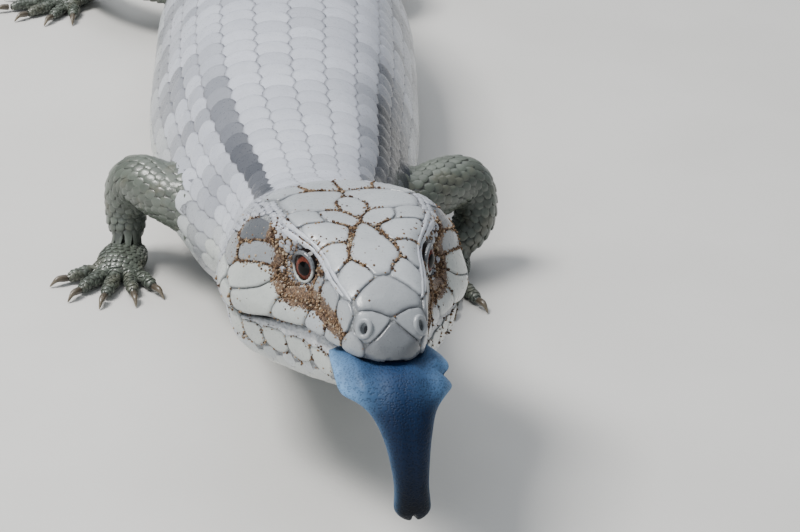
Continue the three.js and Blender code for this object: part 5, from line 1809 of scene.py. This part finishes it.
def build_stage():
    """Camera, floor, sky and lamps."""
    build_camera()
    select_any()
    bpy.ops.mesh.primitive_plane_add(size=6, location=(0, 0, 0))
    floor = bpy.context.object
    floor.name = "floor"
    floor.data.materials.append(floor_finish())
    world = bpy.context.scene.world or bpy.data.worlds.new("world")
    bpy.context.scene.world = world
    world.use_nodes = True
    sky = world.node_tree.nodes["Background"]
    sky.inputs[0].default_value = SKY_COLOUR
    sky.inputs[1].default_value = SKY_STRENGTH
    for lamp in LAMPS:
        add_lamp(*lamp)


# ---- Operators, one for each piece or group of like pieces ----
FLESH = ["head", "lower_jaw", "neck", "torso", "tail_base", "tail_middle", "tail_tip"]
FEET = ["foreleg_left", "foreleg_right", "hindleg_left", "hindleg_right", "forefoot_left", "forefoot_right",
        "hindfoot_left", "hindfoot_right"]
CLAWS = [f"claw_{foot}_{side}_{i}" for foot in ("forefoot", "hindfoot") for side in ("left", "right")
         for i in range(1, 6)]


class SKINK_OT_skin(bpy.types.Operator):
    """Build the one skin of head, body, legs and feet"""

    bl_idname = "skink.skin"
    bl_label = "Skin"

    def execute(self, context):
        skin = build_skin()
        finish(skin, skin_finish(colours()))
        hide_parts(*FLESH, *FEET)
        return {"FINISHED"}


class SKINK_OT_shields(bpy.types.Operator):
    """Build the shields of the head and the lips"""

    bl_idname = "skink.shields"
    bl_label = "Head shields"

    def execute(self, context):
        material = scale_finish("head_shield_finish", colours(), head=True)
        for made in build_shields(bpy.data.objects["skin"]):
            finish(made, material)
        return {"FINISHED"}


class SKINK_OT_scales(bpy.types.Operator):
    """Build the overlapping scales of the body, the throat, the legs and the toes"""

    bl_idname = "skink.scales"
    bl_label = "Scales"

    def execute(self, context):
        tree = tree_of(bpy.data.objects["skin"])
        guard = guard_tree()
        body = scale_finish("body_scale_finish", colours())
        legs = limb_finish(colours())
        for made in build_body_scales(tree, guard):
            finish(made, body, 50)
        for made in build_leg_scales(tree):
            finish(made, legs, 50)
        return {"FINISHED"}


class SKINK_OT_face(bpy.types.Operator):
    """Build the small scales of the face, the lids and the rims of the nostrils"""

    bl_idname = "skink.face"
    bl_label = "Face"

    def execute(self, context):
        material = scale_finish("face_scale_finish", colours())
        for made in build_face_scales(tree_of(bpy.data.objects["skin"]), guard_tree()):
            finish(made, material)
        finish(build_lids(), scale_finish("lid_finish", colours(), head=True))
        return {"FINISHED"}


class SKINK_OT_sand(bpy.types.Operator):
    """Scatter the sand on the head"""

    bl_idname = "skink.sand"
    bl_label = "Sand"

    def execute(self, context):
        material = sand_finish()
        for made in build_sand(tree_of(bpy.data.objects["skin"]), guard_tree()):
            finish(made, material, 30)
        return {"FINISHED"}


class SKINK_OT_eyes(bpy.types.Operator):
    """Build the two eyes"""

    bl_idname = "skink.eyes"
    bl_label = "Eyes"

    def execute(self, context):
        material = eye_finish(colours())
        for side, word in ((-1, "right"), (1, "left")):
            made = finish(build_eye(side, f"eyeball_{word}"), material)
            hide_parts(f"eye_{word}")
        return {"FINISHED"}


class SKINK_OT_tongue(bpy.types.Operator):
    """Build the hanging tongue"""

    bl_idname = "skink.tongue"
    bl_label = "Tongue"

    def execute(self, context):
        made = finish(build_tongue(), tongue_finish(colours()))
        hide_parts("tongue")
        return {"FINISHED"}


class SKINK_OT_claws(bpy.types.Operator):
    """Build the claws of all four feet"""

    bl_idname = "skink.claws"
    bl_label = "Claws"

    def execute(self, context):
        made = finish(build_claws(), claw_finish(colours()))
        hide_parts(*CLAWS)
        return {"FINISHED"}


class SKINK_OT_stage(bpy.types.Operator):
    """Set the camera, the light and the floor"""

    bl_idname = "skink.stage"
    bl_label = "Stage"

    def execute(self, context):
        build_stage()
        return {"FINISHED"}


STEPS = [SKINK_OT_skin, SKINK_OT_shields, SKINK_OT_scales, SKINK_OT_face, SKINK_OT_sand, SKINK_OT_eyes,
         SKINK_OT_tongue, SKINK_OT_claws, SKINK_OT_stage]


class SKINK_PT_pieces(bpy.types.Panel):
    """Pieces, sizes and colours of the skink"""

    bl_idname = "SKINK_PT_pieces"
    bl_label = "Blue-tongued Skink"
    bl_space_type = "VIEW_3D"
    bl_region_type = "UI"
    bl_category = "Skink"

    def draw(self, context):
        layout = self.layout
        for group in (context.scene.skink_sizes, context.scene.skink_colours):
            for key in group.__annotations__:
                layout.prop(group, key)
        for step in STEPS:
            layout.operator(step.bl_idname)


CLASSES = [SkinkColours, SkinkSizes, *STEPS, SKINK_PT_pieces]


def register():
    for each in CLASSES:
        bpy.utils.register_class(each)
    bpy.types.Scene.skink_colours = PointerProperty(type=SkinkColours)
    bpy.types.Scene.skink_sizes = PointerProperty(type=SkinkSizes)


def unregister():
    del bpy.types.Scene.skink_sizes
    del bpy.types.Scene.skink_colours
    for each in reversed(CLASSES):
        bpy.utils.unregister_class(each)


def main():
    register()
    for step in STEPS:
        group, name = step.bl_idname.split(".")
        getattr(getattr(bpy.ops, group), name)()


if __name__ == "__main__":
    main()
